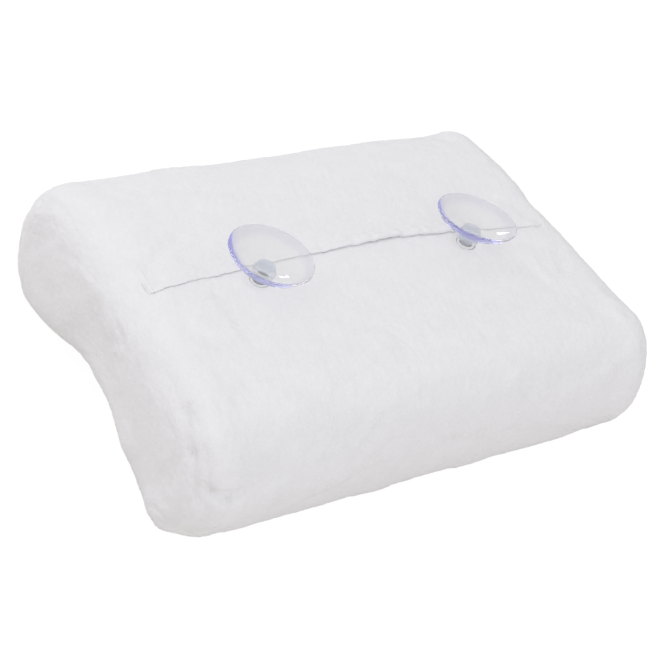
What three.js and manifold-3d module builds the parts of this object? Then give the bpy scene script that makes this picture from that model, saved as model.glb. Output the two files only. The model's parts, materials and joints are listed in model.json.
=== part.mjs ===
// Bath pillow: a contoured foam core in a sewn towelling cover that closes with an overlap across its back.
// Two clear suction cups button through stitched eyelets beside the closure and hold the pillow to a bath.
// Millimetres, +Z up. The pillow lies on its two lobes with its back panel up. The origin is on the surface
// under the middle of the pillow, +X runs along its length and +Y runs from the front lobe to the back lobe.

import * as THREE from 'three';
import { mergeVertices } from 'three/addons/utils/BufferGeometryUtils.js';
import Module from 'manifold-3d';

// Pillow body
const LENGTH = 300;
const DEPTH = 234;
const HEIGHT = 97.5;
const FRONT_FOOT_SETBACK = 42;
const BACK_FOOT_SETBACK = 23;
const HOLLOW_Y = -1;
const HOLLOW_DEPTH = 22;
const FRONT_FACE_Z = 53;
const BACK_FACE_Z = 44;
const FRONT_SHOULDER = 31;
const BACK_SHOULDER = 55;
const END_ROUNDING = 22.5;
const FOOT_FLAT = 0.5;

// Softness of the stuffed form
const CROWN = 2;
const END_DRAW = 3.5;
const SIDE_DRAW = 1.5;
const SHOULDER_FULLNESS = 0.6;
const FOOT_FULLNESS = 0.42;
const HOLLOW_EASE = 0.4;
const PANEL_EASE = 1 / 3;
const INSET_DRIFT = 0.25;

// Cover
const CLOTH = 2.5;
const SEAM_GAP = 0.3;
const SEAT_GAP = 0.3;
const SEAM_TURN = Math.PI / 4;
const UNDER_SEAM = 0.35;

// Closure
const SLIT_Y = -1;
const FLAP_END_GAP = 1;
const LIP_CLEARANCE = 0.5;
const LIP_ROUND = 1.2;
const UNDERLAP_TUCK = 4;
const UNDERLAP_END_GAP = 1.5;
const TAPE = 1;
const TAPE_WIDTH = 9;
const TAPE_FROM_LIP = 6;
const TAPE_TO_ROOT = 3;
const TAPE_TO_RAMP = 1;
const TAPE_END_MARGIN = 6;
const TACK_LENGTH = 8;
const TACK_WIDTH = 1.6;
const TACK_HEIGHT = 0.9;
const TACK_PAST_SLIT = 3;
const TACK_BELOW_SLIT = 1.5;

// Suction cups and their eyelets
const CUP_SPACING = 138;
const CUP_FROM_SLIT = 9;
const CUP_RADIUS = 23.8;
const CUP_STAND_OFF = 18.5;
const DISH_DEPTH = 9;
const DISH_WALL = 2.4;
const RIM_WALL = 1.5;
const HUB_RADIUS = 6.3;
const HUB_FLARE = 2;
const NECK_RADIUS = 3.4;
const NECK_ABOVE_CLOTH = 0.9;
const KNOB_RADIUS = 5.5;
const KNOB_DROP = 7.5;
const EYELET_CLEARANCE = 0.3;
const EYELET_WIDTH = 1.8;
const EYELET_PLAY = 0.5;
const BACKING = 1;
const BACKING_FROM_SLIT = 0.6;
const BACKING_CLEARANCE = 0.2;
const POCKET_FLOOR_GAP = 1;
const LEFT_LEAN = { towardX: 6.5, towardY: -1 };
const RIGHT_LEAN = { towardX: 7, towardY: 5 };

// Mesh steps
const HOLLOW_STEPS = 9;
const UNDER_FOOT_STEPS = 3;
const FACE_STEPS = 5;
const SHOULDER_STEPS = 7;
const FRONT_PANEL_STEPS = 4;
const BACK_PANEL_STEPS = 2;
const STRAIGHT_STEPS = 6;
const TURN_STEPS = 2;
const CUP_STEPS = 32;
const CUP_PROFILE_STEPS = 5;
const CUT_STEPS = 24;
const TACK_STEPS = 6;

const straight = LENGTH / 2 - END_ROUNDING;
const seamAt = straight + END_ROUNDING * SEAM_TURN;
const frontEdge = -DEPTH / 2;
const backEdge = DEPTH / 2;
const rampEnd = TAPE_FROM_LIP - TAPE_TO_RAMP;
const tapeEnd = TAPE_FROM_LIP + TAPE_WIDTH;
const flapWidth = tapeEnd + TAPE_TO_ROOT;
const tuckEnd = flapWidth + UNDERLAP_TUCK;
const cupY = SLIT_Y - CUP_FROM_SLIT;
const lining = CLOTH + SEAT_GAP;
const eyeletBore = NECK_RADIUS + EYELET_CLEARANCE;
const eyeletRadius = eyeletBore + EYELET_WIDTH;
const backingRadius = CUP_FROM_SLIT - BACKING_FROM_SLIT;
const pocketDepth = KNOB_DROP + KNOB_RADIUS + POCKET_FLOOR_GAP;
const throughCloth = 3 * CLOTH;
const lipEase = CLOTH / 4;

const wasm = await Module();
wasm.setup();

// The pillow's section in seven curves, from the back foot through the hollow, front foot, front face,
// back panel and back face to the back foot again. A whole number u starts a curve, and inset is the
// depth under the cloth.
function sectionCurves(inset) {
  const drift = inset * INSET_DRIFT;
  const low = inset - FOOT_FLAT;
  const high = HEIGHT - inset;
  const backFoot = new THREE.Vector2(backEdge - BACK_FOOT_SETBACK - drift, low);
  const hollow = new THREE.Vector2(HOLLOW_Y, HOLLOW_DEPTH + inset);
  const frontFoot = new THREE.Vector2(frontEdge + FRONT_FOOT_SETBACK + drift, low);
  const frontFace = new THREE.Vector2(frontEdge + inset, FRONT_FACE_Z);
  const panelFront = new THREE.Vector2(frontEdge + FRONT_SHOULDER + drift, high);
  const panelBack = new THREE.Vector2(backEdge - BACK_SHOULDER - drift, high);
  const backFace = new THREE.Vector2(backEdge - inset, BACK_FACE_Z);
  return [
    levelCurve(backFoot, hollow, HOLLOW_EASE),
    levelCurve(hollow, frontFoot, HOLLOW_EASE),
    turnToUpright(frontFoot, frontFace, FOOT_FULLNESS),
    turnToLevel(frontFace, panelFront, SHOULDER_FULLNESS),
    levelCurve(panelFront, panelBack, PANEL_EASE),
    turnToUpright(panelBack, backFace, SHOULDER_FULLNESS),
    turnToLevel(backFace, backFoot, FOOT_FULLNESS),
  ];
}

function levelCurve(from, to, ease) {
  const reach = (to.x - from.x) * ease;
  const leave = new THREE.Vector2(from.x + reach, from.y);
  const arrive = new THREE.Vector2(to.x - reach, to.y);
  return new THREE.CubicBezierCurve(from, leave, arrive, to);
}

function turnToUpright(from, to, fullness) {
  const leave = new THREE.Vector2(from.x + (to.x - from.x) * fullness, from.y);
  const arrive = new THREE.Vector2(to.x, to.y - (to.y - from.y) * fullness);
  return new THREE.CubicBezierCurve(from, leave, arrive, to);
}

function turnToLevel(from, to, fullness) {
  const leave = new THREE.Vector2(from.x, from.y + (to.y - from.y) * fullness);
  const arrive = new THREE.Vector2(to.x - (to.x - from.x) * fullness, to.y);
  return new THREE.CubicBezierCurve(from, leave, arrive, to);
}

// Where each curve starts round the section.
const stations = [
  'backFoot', 'hollow', 'frontFoot', 'frontFace', 'panelFront', 'panelBack', 'backFace', 'end',
];
const SECTION = Object.fromEntries(stations.map((name, index) => [name, index]));

function panelU(y) {
  const front = frontEdge + FRONT_SHOULDER;
  const back = backEdge - BACK_SHOULDER;
  return SECTION.panelFront + (y - front) / (back - front);
}

// How far a point of an end lies from the end's middle towards its corners, from 0 to 1.
function endShare(y) {
  return Math.min(1, Math.abs(y) / (DEPTH / 2 - END_ROUNDING));
}

// The stuffed form draws in between its corners and crowns in the middle of its back panel.
function relax(x, y, z) {
  const alongX = Math.min(1, Math.abs(2 * x / LENGTH));
  const alongY = Math.min(1, Math.abs(2 * y / DEPTH));
  const alongEnd = endShare(y);
  const intoEnd = Math.max(0, Math.abs(x) - straight) / END_ROUNDING;
  const fall = 1 - (1 - alongX ** 2) * (1 - alongY ** 2);
  const onTop = THREE.MathUtils.smoothstep(z, HEIGHT / 2, HEIGHT);
  return new THREE.Vector3(
    x - Math.sign(x) * END_DRAW * (1 - alongEnd ** 2) * intoEnd ** 2,
    y * (1 - (2 * SIDE_DRAW / DEPTH) * (1 - alongX ** 2)),
    Math.max(0, z - CROWN * fall * onTop),
  );
}

// A point of the pillow: u runs round the section, v is the length run along the cloth from the middle.
function pillowPoint(u, v, inset) {
  const turn = Math.max(0, Math.abs(v) - straight) / END_ROUNDING;
  const rounding = END_ROUNDING - inset;
  const x = Math.sign(v) * (Math.min(Math.abs(v), straight) + rounding * Math.sin(turn));
  const curves = sectionCurves(END_ROUNDING - rounding * Math.cos(turn));
  const index = Math.floor(u) % curves.length;
  const at = curves[index].getPoint(u - Math.floor(u));
  return relax(x, at.x, at.y);
}

function panelPoint(x, y, inset) {
  return pillowPoint(panelU(y), x, inset);
}

// A closed mesh from points and faces, turned so that its faces point out.
function closedGeometry(points, faces) {
  let volume = 0;
  for (const [a, b, c] of faces) {
    volume += points[a].dot(new THREE.Vector3().crossVectors(points[b], points[c]));
  }
  const facing = volume < 0 ? faces.map(([a, b, c]) => [a, c, b]) : faces;
  const geometry = new THREE.BufferGeometry().setFromPoints(points);
  geometry.setIndex(facing.flat());
  geometry.computeVertexNormals();
  return geometry;
}

// A piece of cloth between two depths, from the cells of a grid of u and v lines that belong to it.
function clothGeometry(uLines, vLines, outerInset, innerInset, isCloth = () => true) {
  const points = [];
  const faces = [];
  const places = new Map();
  const rows = uLines.length - 1;
  const columns = vLines.length - 1;

  const vertex = (layer, i, j) => {
    const key = `${layer} ${i} ${j}`;
    if (!places.has(key)) {
      const inset = layer === 0 ? outerInset(i, j) : innerInset(i, j);
      places.set(key, points.push(pillowPoint(uLines[i], vLines[j], inset)) - 1);
    }
    return places.get(key);
  };
  const quad = (a, b, c, d) => faces.push([a, b, c], [a, c, d]);
  const wall = (i0, j0, i1, j1) => {
    quad(vertex(0, i1, j1), vertex(0, i0, j0), vertex(1, i0, j0), vertex(1, i1, j1));
  };
  const inside = (i, j) => i >= 0 && j >= 0 && i < rows && j < columns && isCloth(i, j);

  for (let i = 0; i < rows; i++) {
    for (let j = 0; j < columns; j++) {
      if (!inside(i, j)) continue;
      quad(vertex(0, i, j), vertex(0, i + 1, j), vertex(0, i + 1, j + 1), vertex(0, i, j + 1));
      quad(vertex(1, i, j), vertex(1, i, j + 1), vertex(1, i + 1, j + 1), vertex(1, i + 1, j));
      if (!inside(i - 1, j)) wall(i, j + 1, i, j);
      if (!inside(i + 1, j)) wall(i + 1, j, i + 1, j + 1);
      if (!inside(i, j - 1)) wall(i, j, i + 1, j);
      if (!inside(i, j + 1)) wall(i + 1, j + 1, i, j + 1);
    }
  }
  return closedGeometry(points, faces);
}

function spread(from, to, steps) {
  return Array.from({ length: steps + 1 }, (_, k) => from + (to - from) * k / steps);
}

// Lines along the length: even steps on the straight, then round each end as far as the cloth goes.
function lengthLines(reach, turnSteps, extra = []) {
  const half = [...spread(0, Math.min(reach, straight), STRAIGHT_STEPS / 2), ...extra];
  if (reach > straight) half.push(...spread(straight, reach, turnSteps).slice(1));
  half.sort((a, b) => a - b);
  return [...half.slice(1).reverse().map((v) => -v), ...half];
}

// Lines round the section, shared by the cover and the core so that their facets stay parallel.
const hollowLines = spread(SECTION.backFoot, SECTION.frontFoot, 2 * HOLLOW_STEPS);
const frontSeam = SECTION.frontFoot + UNDER_SEAM;
const backSeam = SECTION.end - UNDER_SEAM;
const frontLines = [
  ...spread(frontSeam, SECTION.frontFace, FACE_STEPS),
  ...spread(SECTION.frontFace, SECTION.panelFront, SHOULDER_STEPS).slice(1),
];
const backLines = [
  ...spread(SECTION.panelBack, SECTION.backFace, SHOULDER_STEPS),
  ...spread(SECTION.backFace, backSeam, FACE_STEPS).slice(1),
];
const underFront = spread(SECTION.frontFoot, frontSeam, UNDER_FOOT_STEPS);
const underBack = spread(backSeam, SECTION.end, UNDER_FOOT_STEPS);
const outline = sectionCurves(0);
const frontSeamStep = SEAM_GAP / 2 / outline[SECTION.frontFoot].getLength();
const backSeamStep = SEAM_GAP / 2 / outline[SECTION.backFace].getLength();

// The closure's lines from the slit to past the flap's root, as distances from the slit.
const closureSteps = [0, rampEnd, TAPE_FROM_LIP, tapeEnd, flapWidth, tuckEnd];
const closureLines = closureSteps.map((step) => panelU(SLIT_Y + step));
const slitLine = closureLines.at(0);
const tuckLine = closureLines.at(-1);
const frontPanelLines = spread(SECTION.panelFront, slitLine, FRONT_PANEL_STEPS);
const backPanelLines = spread(tuckLine, SECTION.panelBack, BACK_PANEL_STEPS);
const sectionLines = [
  ...hollowLines,
  ...underFront.slice(1),
  ...frontLines.slice(1),
  ...frontPanelLines.slice(1),
  ...closureLines.slice(1),
  ...backPanelLines.slice(1),
  ...backLines.slice(1),
  ...underBack.slice(1, -1),
];
const endTurn = straight + END_ROUNDING * Math.PI / 2;

// Depth of the flap's underside, and of the underlap below it with both tapes between them.
function flapUnderside(fromLip) {
  return THREE.MathUtils.mapLinear(fromLip, 0, flapWidth, -LIP_CLEARANCE, CLOTH);
}

function underlapFace(fromLip) {
  if (fromLip <= 0) return 0;
  return flapUnderside(Math.max(rampEnd, Math.min(fromLip, flapWidth))) + 2 * TAPE + 3 * SEAT_GAP;
}

function makeFoamCore() {
  const groove = new Map(closureLines.map((u, k) => [u, underlapFace(closureSteps[k])]));
  const vLines = [
    ...spread(-endTurn, -seamAt, TURN_STEPS).slice(0, -1),
    ...lengthLines(seamAt, TURN_STEPS),
    ...spread(seamAt, endTurn, TURN_STEPS).slice(1),
  ];
  const count = sectionLines.length;
  const points = [];
  const faces = [];
  for (const v of vLines) {
    for (const u of sectionLines) {
      const drop = Math.abs(v) <= straight ? groove.get(u) ?? 0 : 0;
      points.push(pillowPoint(u, v, lining + drop));
    }
  }
  addBands(faces, 0, vLines.length, count, false);
  addEndFan(points, faces, 0, count, false);
  addEndFan(points, faces, (vLines.length - 1) * count, count, true);
  let core = toSolid(closedGeometry(points, faces));
  for (const side of [-1, 1]) {
    const top = panelPoint(side * CUP_SPACING / 2, cupY, lining);
    core = core.subtract(upright(backingRadius + SEAT_GAP, pocketDepth * 2, top));
  }
  return fromSolid(core);
}

// Joins rings of count points, the first of which starts at first, ring to ring.
function addBands(faces, first, rings, count, reversed) {
  for (let j = 0; j + 1 < rings; j++) {
    for (let i = 0; i < count; i++) {
      const a = first + j * count + i;
      const b = first + j * count + (i + 1) % count;
      const quad = [[a, b, b + count], [a, b + count, a + count]];
      faces.push(...(reversed ? quad.map(([p, q, r]) => [p, r, q]) : quad));
    }
  }
}

// Closes a ring of points that starts at first with a fan to the ring's middle.
function addEndFan(points, faces, first, count, reversed) {
  const { x, y } = points[first];
  const drawn = END_DRAW * (endShare(y) ** 2 - endShare(HOLLOW_Y) ** 2);
  const middle = new THREE.Vector3(x - Math.sign(x) * drawn, HOLLOW_Y, (HOLLOW_DEPTH + HEIGHT) / 2);
  const hub = points.push(middle) - 1;
  for (let i = 0; i < count; i++) {
    const a = first + i;
    const b = first + (i + 1) % count;
    faces.push(reversed ? [hub, a, b] : [hub, b, a]);
  }
}

function makeContourPanel() {
  const uLines = [
    ...underBack.map((u) => u - SECTION.end),
    ...hollowLines.slice(1),
    ...underFront.slice(1),
  ].map((u) => (u < 0 ? u + SECTION.end : u));
  uLines[0] += backSeamStep;
  uLines[uLines.length - 1] -= frontSeamStep;
  const vLines = lengthLines(seamAt - SEAM_GAP / 2, TURN_STEPS);
  return clothGeometry(uLines, vLines, () => 0, () => CLOTH);
}

function makeLowerBackPanel() {
  const uLines = [...frontLines, ...frontPanelLines.slice(1), ...closureLines.slice(1)];
  uLines[0] += frontSeamStep;
  const slitIndex = uLines.indexOf(slitLine);
  const vLines = lengthLines(seamAt - SEAM_GAP / 2, TURN_STEPS, [straight - UNDERLAP_END_GAP]);
  const face = (i) => (i > slitIndex ? underlapFace(closureSteps[i - slitIndex]) : 0);
  const isCloth = (i, j) => {
    const middle = (vLines[j] + vLines[j + 1]) / 2;
    return i < slitIndex || Math.abs(middle) < straight - UNDERLAP_END_GAP;
  };
  let panel = toSolid(clothGeometry(uLines, vLines, face, (i) => face(i) + CLOTH, isCloth));
  for (const side of [-1, 1]) {
    const centre = panelPoint(side * CUP_SPACING / 2, cupY, CLOTH / 2);
    panel = panel.subtract(upright(eyeletRadius + EYELET_PLAY, throughCloth, centre));
  }
  return fromSolid(panel);
}

function makeUpperBackPanel() {
  const uLines = [
    panelU(SLIT_Y + SEAM_GAP),
    panelU(SLIT_Y + flapWidth + SEAM_GAP),
    ...backPanelLines,
    ...backLines.slice(1),
  ];
  uLines[uLines.length - 1] -= backSeamStep;
  const vLines = lengthLines(seamAt - SEAM_GAP / 2, TURN_STEPS);
  const isCloth = (i, j) => i > 0 || Math.abs(vLines[j] + vLines[j + 1]) / 2 > straight;
  return clothGeometry(uLines, vLines, () => 0, () => CLOTH, isCloth);
}

function makeEndPanel(side) {
  const vLines = spread(seamAt + SEAM_GAP / 2, endTurn, TURN_STEPS);
  const count = sectionLines.length;
  const points = [];
  const faces = [];
  for (const inset of [0, CLOTH]) {
    for (const v of vLines) {
      for (const u of sectionLines) points.push(pillowPoint(u, side * v, inset));
    }
  }
  const layerSize = vLines.length * count;
  addBands(faces, 0, vLines.length, count, false);
  addBands(faces, layerSize, vLines.length, count, true);
  for (let i = 0; i < count; i++) {
    const next = (i + 1) % count;
    faces.push([i, layerSize + i, layerSize + next], [i, layerSize + next, next]);
  }
  addEndFan(points, faces, layerSize - count, count, true);
  addEndFan(points, faces, 2 * layerSize - count, count, false);
  return closedGeometry(points, faces);
}

function makeFlap() {
  const steps = [0, LIP_ROUND, rampEnd, (rampEnd + tapeEnd) / 2, tapeEnd, flapWidth];
  const uLines = steps.map((step) => panelU(SLIT_Y + step));
  const vLines = lengthLines(straight - FLAP_END_GAP, 1);
  const round = (i) => (i === 0 ? lipEase : 0);
  const outer = (i) => flapUnderside(steps[i]) - CLOTH + round(i);
  const inner = (i) => flapUnderside(steps[i]) - round(i);
  return clothGeometry(uLines, vLines, outer, inner);
}

function makeTape(outerFace) {
  const uLines = [TAPE_FROM_LIP, tapeEnd].map((step) => panelU(SLIT_Y + step));
  const vLines = lengthLines(straight - TAPE_END_MARGIN, 1);
  const faces = [TAPE_FROM_LIP, tapeEnd].map(outerFace);
  return clothGeometry(uLines, vLines, (i) => faces[i], (i) => faces[i] + TAPE);
}

function makeBarTack() {
  const half = TACK_WIDTH / 2;
  const reach = TACK_LENGTH / 2 - half;
  const shape = new THREE.Shape();
  shape.absarc(0, reach, half, 0, Math.PI, false);
  shape.absarc(0, -reach, half, Math.PI, 2 * Math.PI, false);
  const options = { depth: TACK_HEIGHT, bevelEnabled: false, curveSegments: TACK_STEPS };
  return new THREE.ExtrudeGeometry(shape, options);
}

function makeEyelet() {
  const half = CLOTH / 2;
  const chamfer = EYELET_WIDTH / 4;
  const profile = [
    new THREE.Vector2(eyeletBore + chamfer, -half),
    new THREE.Vector2(eyeletRadius - chamfer, -half),
    new THREE.Vector2(eyeletRadius, -half + chamfer),
    new THREE.Vector2(eyeletRadius, half - chamfer),
    new THREE.Vector2(eyeletRadius - chamfer, half),
    new THREE.Vector2(eyeletBore + chamfer, half),
    new THREE.Vector2(eyeletBore, half - chamfer),
    new THREE.Vector2(eyeletBore, -half + chamfer),
  ];
  return turned([...profile, profile[0].clone()], CUT_STEPS);
}

function makeBacking() {
  const hole = KNOB_RADIUS + BACKING_CLEARANCE;
  const profile = [
    new THREE.Vector2(hole, 0),
    new THREE.Vector2(backingRadius, 0),
    new THREE.Vector2(backingRadius, BACKING),
    new THREE.Vector2(hole, BACKING),
  ];
  return turned([...profile, profile[0].clone()], CUT_STEPS);
}

// A cup about its own axis, with z = 0 at the middle of the eyelet and the dish's mouth up.
function makeCup() {
  const mouth = CUP_STAND_OFF + CLOTH / 2;
  const dishFloor = mouth - DISH_DEPTH;
  const dishRadius = (CUP_RADIUS ** 2 + DISH_DEPTH ** 2) / (2 * DISH_DEPTH);
  const bowl = (r) => dishRadius - Math.sqrt(dishRadius ** 2 - r ** 2);
  const neckTop = CLOTH / 2 + NECK_ABOVE_CLOTH;
  const knobJoin = KNOB_DROP - Math.sqrt(KNOB_RADIUS ** 2 - NECK_RADIUS ** 2);
  const lipInside = CUP_RADIUS - RIM_WALL;
  const profile = [new THREE.Vector2(0, -KNOB_DROP - KNOB_RADIUS)];
  const knobTurn = Math.PI - Math.asin(NECK_RADIUS / KNOB_RADIUS);
  for (const angle of spread(0, knobTurn, CUP_PROFILE_STEPS).slice(1, -1)) {
    const height = -KNOB_DROP - KNOB_RADIUS * Math.cos(angle);
    profile.push(new THREE.Vector2(KNOB_RADIUS * Math.sin(angle), height));
  }
  profile.push(new THREE.Vector2(NECK_RADIUS, -knobJoin));
  profile.push(new THREE.Vector2(NECK_RADIUS, neckTop));
  profile.push(new THREE.Vector2(HUB_RADIUS, neckTop + HUB_FLARE));
  for (const r of spread(HUB_RADIUS, CUP_RADIUS, CUP_PROFILE_STEPS).slice(0, -1)) {
    profile.push(new THREE.Vector2(r, dishFloor + bowl(r) - DISH_WALL));
  }
  profile.push(new THREE.Vector2(CUP_RADIUS, mouth - RIM_WALL));
  profile.push(new THREE.Vector2(CUP_RADIUS, mouth));
  profile.push(new THREE.Vector2(lipInside, mouth));
  for (const r of spread(lipInside, 0, CUP_PROFILE_STEPS).slice(1, -1)) {
    profile.push(new THREE.Vector2(r, dishFloor + bowl(r)));
  }
  profile.push(new THREE.Vector2(0, dishFloor));
  return turned(profile, CUP_STEPS);
}

// A profile in radius and height, turned about Z.
function turned(profile, steps) {
  const geometry = new THREE.LatheGeometry(profile, steps);
  geometry.rotateX(Math.PI / 2);
  return geometry;
}

function toSolid(geometry) {
  const bare = geometry.clone();
  bare.deleteAttribute('normal');
  bare.deleteAttribute('uv');
  const merged = mergeVertices(bare);
  const vertProperties = Float32Array.from(merged.attributes.position.array);
  const triVerts = Uint32Array.from(merged.index.array);
  return new wasm.Manifold(new wasm.Mesh({ numProp: 3, vertProperties, triVerts }));
}

function fromSolid(solid) {
  const mesh = solid.getMesh();
  const geometry = new THREE.BufferGeometry();
  geometry.setAttribute('position', new THREE.BufferAttribute(mesh.vertProperties, 3));
  geometry.setIndex(new THREE.BufferAttribute(mesh.triVerts, 1));
  geometry.computeVertexNormals();
  return geometry;
}

// An upright round cutter, centred on a point.
function upright(radius, height, centre) {
  const geometry = new THREE.CylinderGeometry(radius, radius, height, CUT_STEPS);
  geometry.rotateX(Math.PI / 2);
  geometry.translate(centre.x, centre.y, centre.z);
  return toSolid(geometry);
}

function material(color, roughness) {
  return new THREE.MeshStandardMaterial({ color, roughness, metalness: 0 });
}

const towelling = () => material(0xe6e5ea, 0.95);
const foam = () => material(0xf0e8cf, 0.9);
const tape = () => material(0xeeeeee, 0.8);
const thread = () => material(0xdcdbe0, 0.7);

function softVinyl() {
  const clear = material(0xdfe0f4, 0.12);
  clear.transparent = true;
  clear.opacity = 0.45;
  return clear;
}

const pillow = new THREE.Group();

function add(parent, name, geometry, finish) {
  const mesh = new THREE.Mesh(geometry, finish);
  mesh.name = name;
  parent.add(mesh);
  return mesh;
}

add(pillow, 'foam_core', makeFoamCore(), foam());
add(pillow, 'contour_panel', makeContourPanel(), towelling());
add(pillow, 'lower_back_panel', makeLowerBackPanel(), towelling());
add(pillow, 'upper_back_panel', makeUpperBackPanel(), towelling());
add(pillow, 'closure_flap', makeFlap(), towelling());
add(pillow, 'hook_tape', makeTape((step) => underlapFace(step) - SEAT_GAP - TAPE), tape());
add(pillow, 'loop_tape', makeTape((step) => flapUnderside(step) + SEAT_GAP), tape());

const sides = [
  { name: 'left', sign: -1, lean: LEFT_LEAN },
  { name: 'right', sign: 1, lean: RIGHT_LEAN },
];
for (const { name, sign, lean } of sides) {
  add(pillow, `${name}_end_panel`, makeEndPanel(sign), towelling());

  const tack = add(pillow, `${name}_bar_tack`, makeBarTack(), thread());
  const tackY = SLIT_Y - TACK_BELOW_SLIT + TACK_LENGTH / 2;
  tack.position.copy(panelPoint(sign * (straight + TACK_PAST_SLIT), tackY, -SEAT_GAP));
  tack.rotation.y = sign * TACK_PAST_SLIT / END_ROUNDING;

  const backing = add(pillow, `${name}_eyelet_backing`, makeBacking(), tape());
  backing.position.copy(panelPoint(sign * CUP_SPACING / 2, cupY, lining + BACKING));

  const cupMount = new THREE.Group();
  cupMount.position.copy(panelPoint(sign * CUP_SPACING / 2, cupY, CLOTH / 2));
  const leanX = THREE.MathUtils.degToRad(lean.towardX);
  const leanY = THREE.MathUtils.degToRad(lean.towardY);
  const axis = new THREE.Vector3(Math.tan(leanX), Math.tan(leanY), 1).normalize();
  cupMount.quaternion.setFromUnitVectors(new THREE.Vector3(0, 0, 1), axis);
  add(cupMount, `${name}_eyelet`, makeEyelet(), thread());
  add(cupMount, `${name}_suction_cup`, makeCup(), softVinyl());
  pillow.add(cupMount);
}

export default pillow;
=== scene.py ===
# %% [markdown]
# This lesson dresses a bath pillow: a foam block with two lobes and a neck hollow, sewn into a
# white towelling cover that closes with an overlap across its back, and held to a bath by two clear
# suction cups. The construction comes first, as a fixed frame that is never moved. Its soft solids
# are plain, so each one is modelled again here in the same place, in metres, with the finer surface
# that cloth and soft plastic need.

# %% Load the construction
import json
import math

import bpy
import numpy as np
from mathutils import Matrix, Vector


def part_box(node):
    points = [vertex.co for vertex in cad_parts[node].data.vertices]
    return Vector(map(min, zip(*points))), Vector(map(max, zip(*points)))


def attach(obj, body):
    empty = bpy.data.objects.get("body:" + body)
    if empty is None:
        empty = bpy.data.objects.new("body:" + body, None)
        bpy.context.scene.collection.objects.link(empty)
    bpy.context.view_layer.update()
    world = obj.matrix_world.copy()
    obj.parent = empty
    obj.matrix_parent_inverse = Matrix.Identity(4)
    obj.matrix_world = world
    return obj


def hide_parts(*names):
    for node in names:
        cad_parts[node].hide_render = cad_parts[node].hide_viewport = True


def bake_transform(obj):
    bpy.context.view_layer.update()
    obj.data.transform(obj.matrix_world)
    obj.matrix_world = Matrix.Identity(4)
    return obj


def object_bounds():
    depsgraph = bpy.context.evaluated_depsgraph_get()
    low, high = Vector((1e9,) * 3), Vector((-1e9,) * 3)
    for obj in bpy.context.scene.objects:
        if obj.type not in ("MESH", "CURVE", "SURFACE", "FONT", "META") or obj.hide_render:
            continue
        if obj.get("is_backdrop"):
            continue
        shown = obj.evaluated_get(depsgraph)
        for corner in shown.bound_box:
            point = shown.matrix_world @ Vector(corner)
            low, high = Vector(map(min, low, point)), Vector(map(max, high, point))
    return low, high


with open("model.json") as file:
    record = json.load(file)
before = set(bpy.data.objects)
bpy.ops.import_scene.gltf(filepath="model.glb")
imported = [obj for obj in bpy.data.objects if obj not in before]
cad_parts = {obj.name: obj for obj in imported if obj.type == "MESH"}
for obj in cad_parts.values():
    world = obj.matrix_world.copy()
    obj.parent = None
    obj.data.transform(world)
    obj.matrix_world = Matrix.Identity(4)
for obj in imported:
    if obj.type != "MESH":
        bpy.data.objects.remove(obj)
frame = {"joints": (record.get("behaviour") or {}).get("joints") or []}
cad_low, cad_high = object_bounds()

MM = 0.001
joints = {joint["name"]: joint for joint in frame["joints"]}

# %% [markdown]
# The photograph was taken through a long lens from the front left, well above the pillow, with the
# pillow turned a little in the picture. A camera could be aimed by hand, but it is steadier to work
# out its three axes from two angles and a roll, and to step back from the point that it looks at.

# %% Place the camera
PHOTO_PIXELS = 665
SENSOR_WIDTH = 36.0
FOCAL_PIXELS = 1520.6
LOOK_AT = Vector((0, 0, 40 * MM))
CAMERA_DISTANCE = 872.6 * MM
CAMERA_SIDE_STEP = 1.1 * MM
CAMERA_RISE = -5.2 * MM
AZIMUTH = math.radians(-44.61)
ELEVATION = math.radians(40.11)
ROLL = math.radians(20.61)


def camera_axes(azimuth, elevation, roll):
    back = Vector((
        math.sin(azimuth) * math.cos(elevation),
        -math.cos(azimuth) * math.cos(elevation),
        math.sin(elevation),
    ))
    level = Vector((math.cos(azimuth), math.sin(azimuth), 0))
    upright = back.cross(level)
    right = math.cos(roll) * level + math.sin(roll) * upright
    up = -math.sin(roll) * level + math.cos(roll) * upright
    return right, up, back


def linked(name, data):
    """A new object that shows the data, linked into the scene."""
    made = bpy.data.objects.new(name, data)
    bpy.context.scene.collection.objects.link(made)
    return made


def add_camera():
    right, up, back = camera_axes(AZIMUTH, ELEVATION, ROLL)
    camera = linked("camera", bpy.data.cameras.new("camera"))
    camera.data.sensor_width = SENSOR_WIDTH
    camera.data.lens = FOCAL_PIXELS / PHOTO_PIXELS * SENSOR_WIDTH
    place = LOOK_AT + CAMERA_SIDE_STEP * right + CAMERA_RISE * up + CAMERA_DISTANCE * back
    turn = Matrix((right, up, back)).transposed().to_4x4()
    camera.matrix_world = Matrix.Translation(place) @ turn
    bpy.context.scene.camera = camera
    return camera


camera = add_camera()
stand = [round(x, 3) for x in camera.matrix_world.translation]
print("Camera at", stand, "with lens", round(camera.data.lens, 1))

# %% [markdown]
# Node trees are shorter to read when one call adds a node, sets it up and wires its inputs. A value
# that is a socket is linked, and anything else is written on the node's own input.

# %% Helpers for node trees


def add_node(tree, kind, inputs=None, **settings):
    node = tree.nodes.new(kind)
    for name, value in settings.items():
        setattr(node, name, value)
    for name, value in (inputs or {}).items():
        if isinstance(value, bpy.types.NodeSocket):
            tree.links.new(value, node.inputs[name])
        else:
            node.inputs[name].default_value = value
    return node


def math_node(tree, operation, *values):
    return add_node(tree, "ShaderNodeMath", dict(enumerate(values)), operation=operation).outputs[0]


def vector_node(tree, operation, *values):
    """Outputs of a vector calculation: Vector, and Value for a length or a distance."""
    return add_node(tree, "ShaderNodeVectorMath", dict(enumerate(values)), operation=operation).outputs


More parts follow.
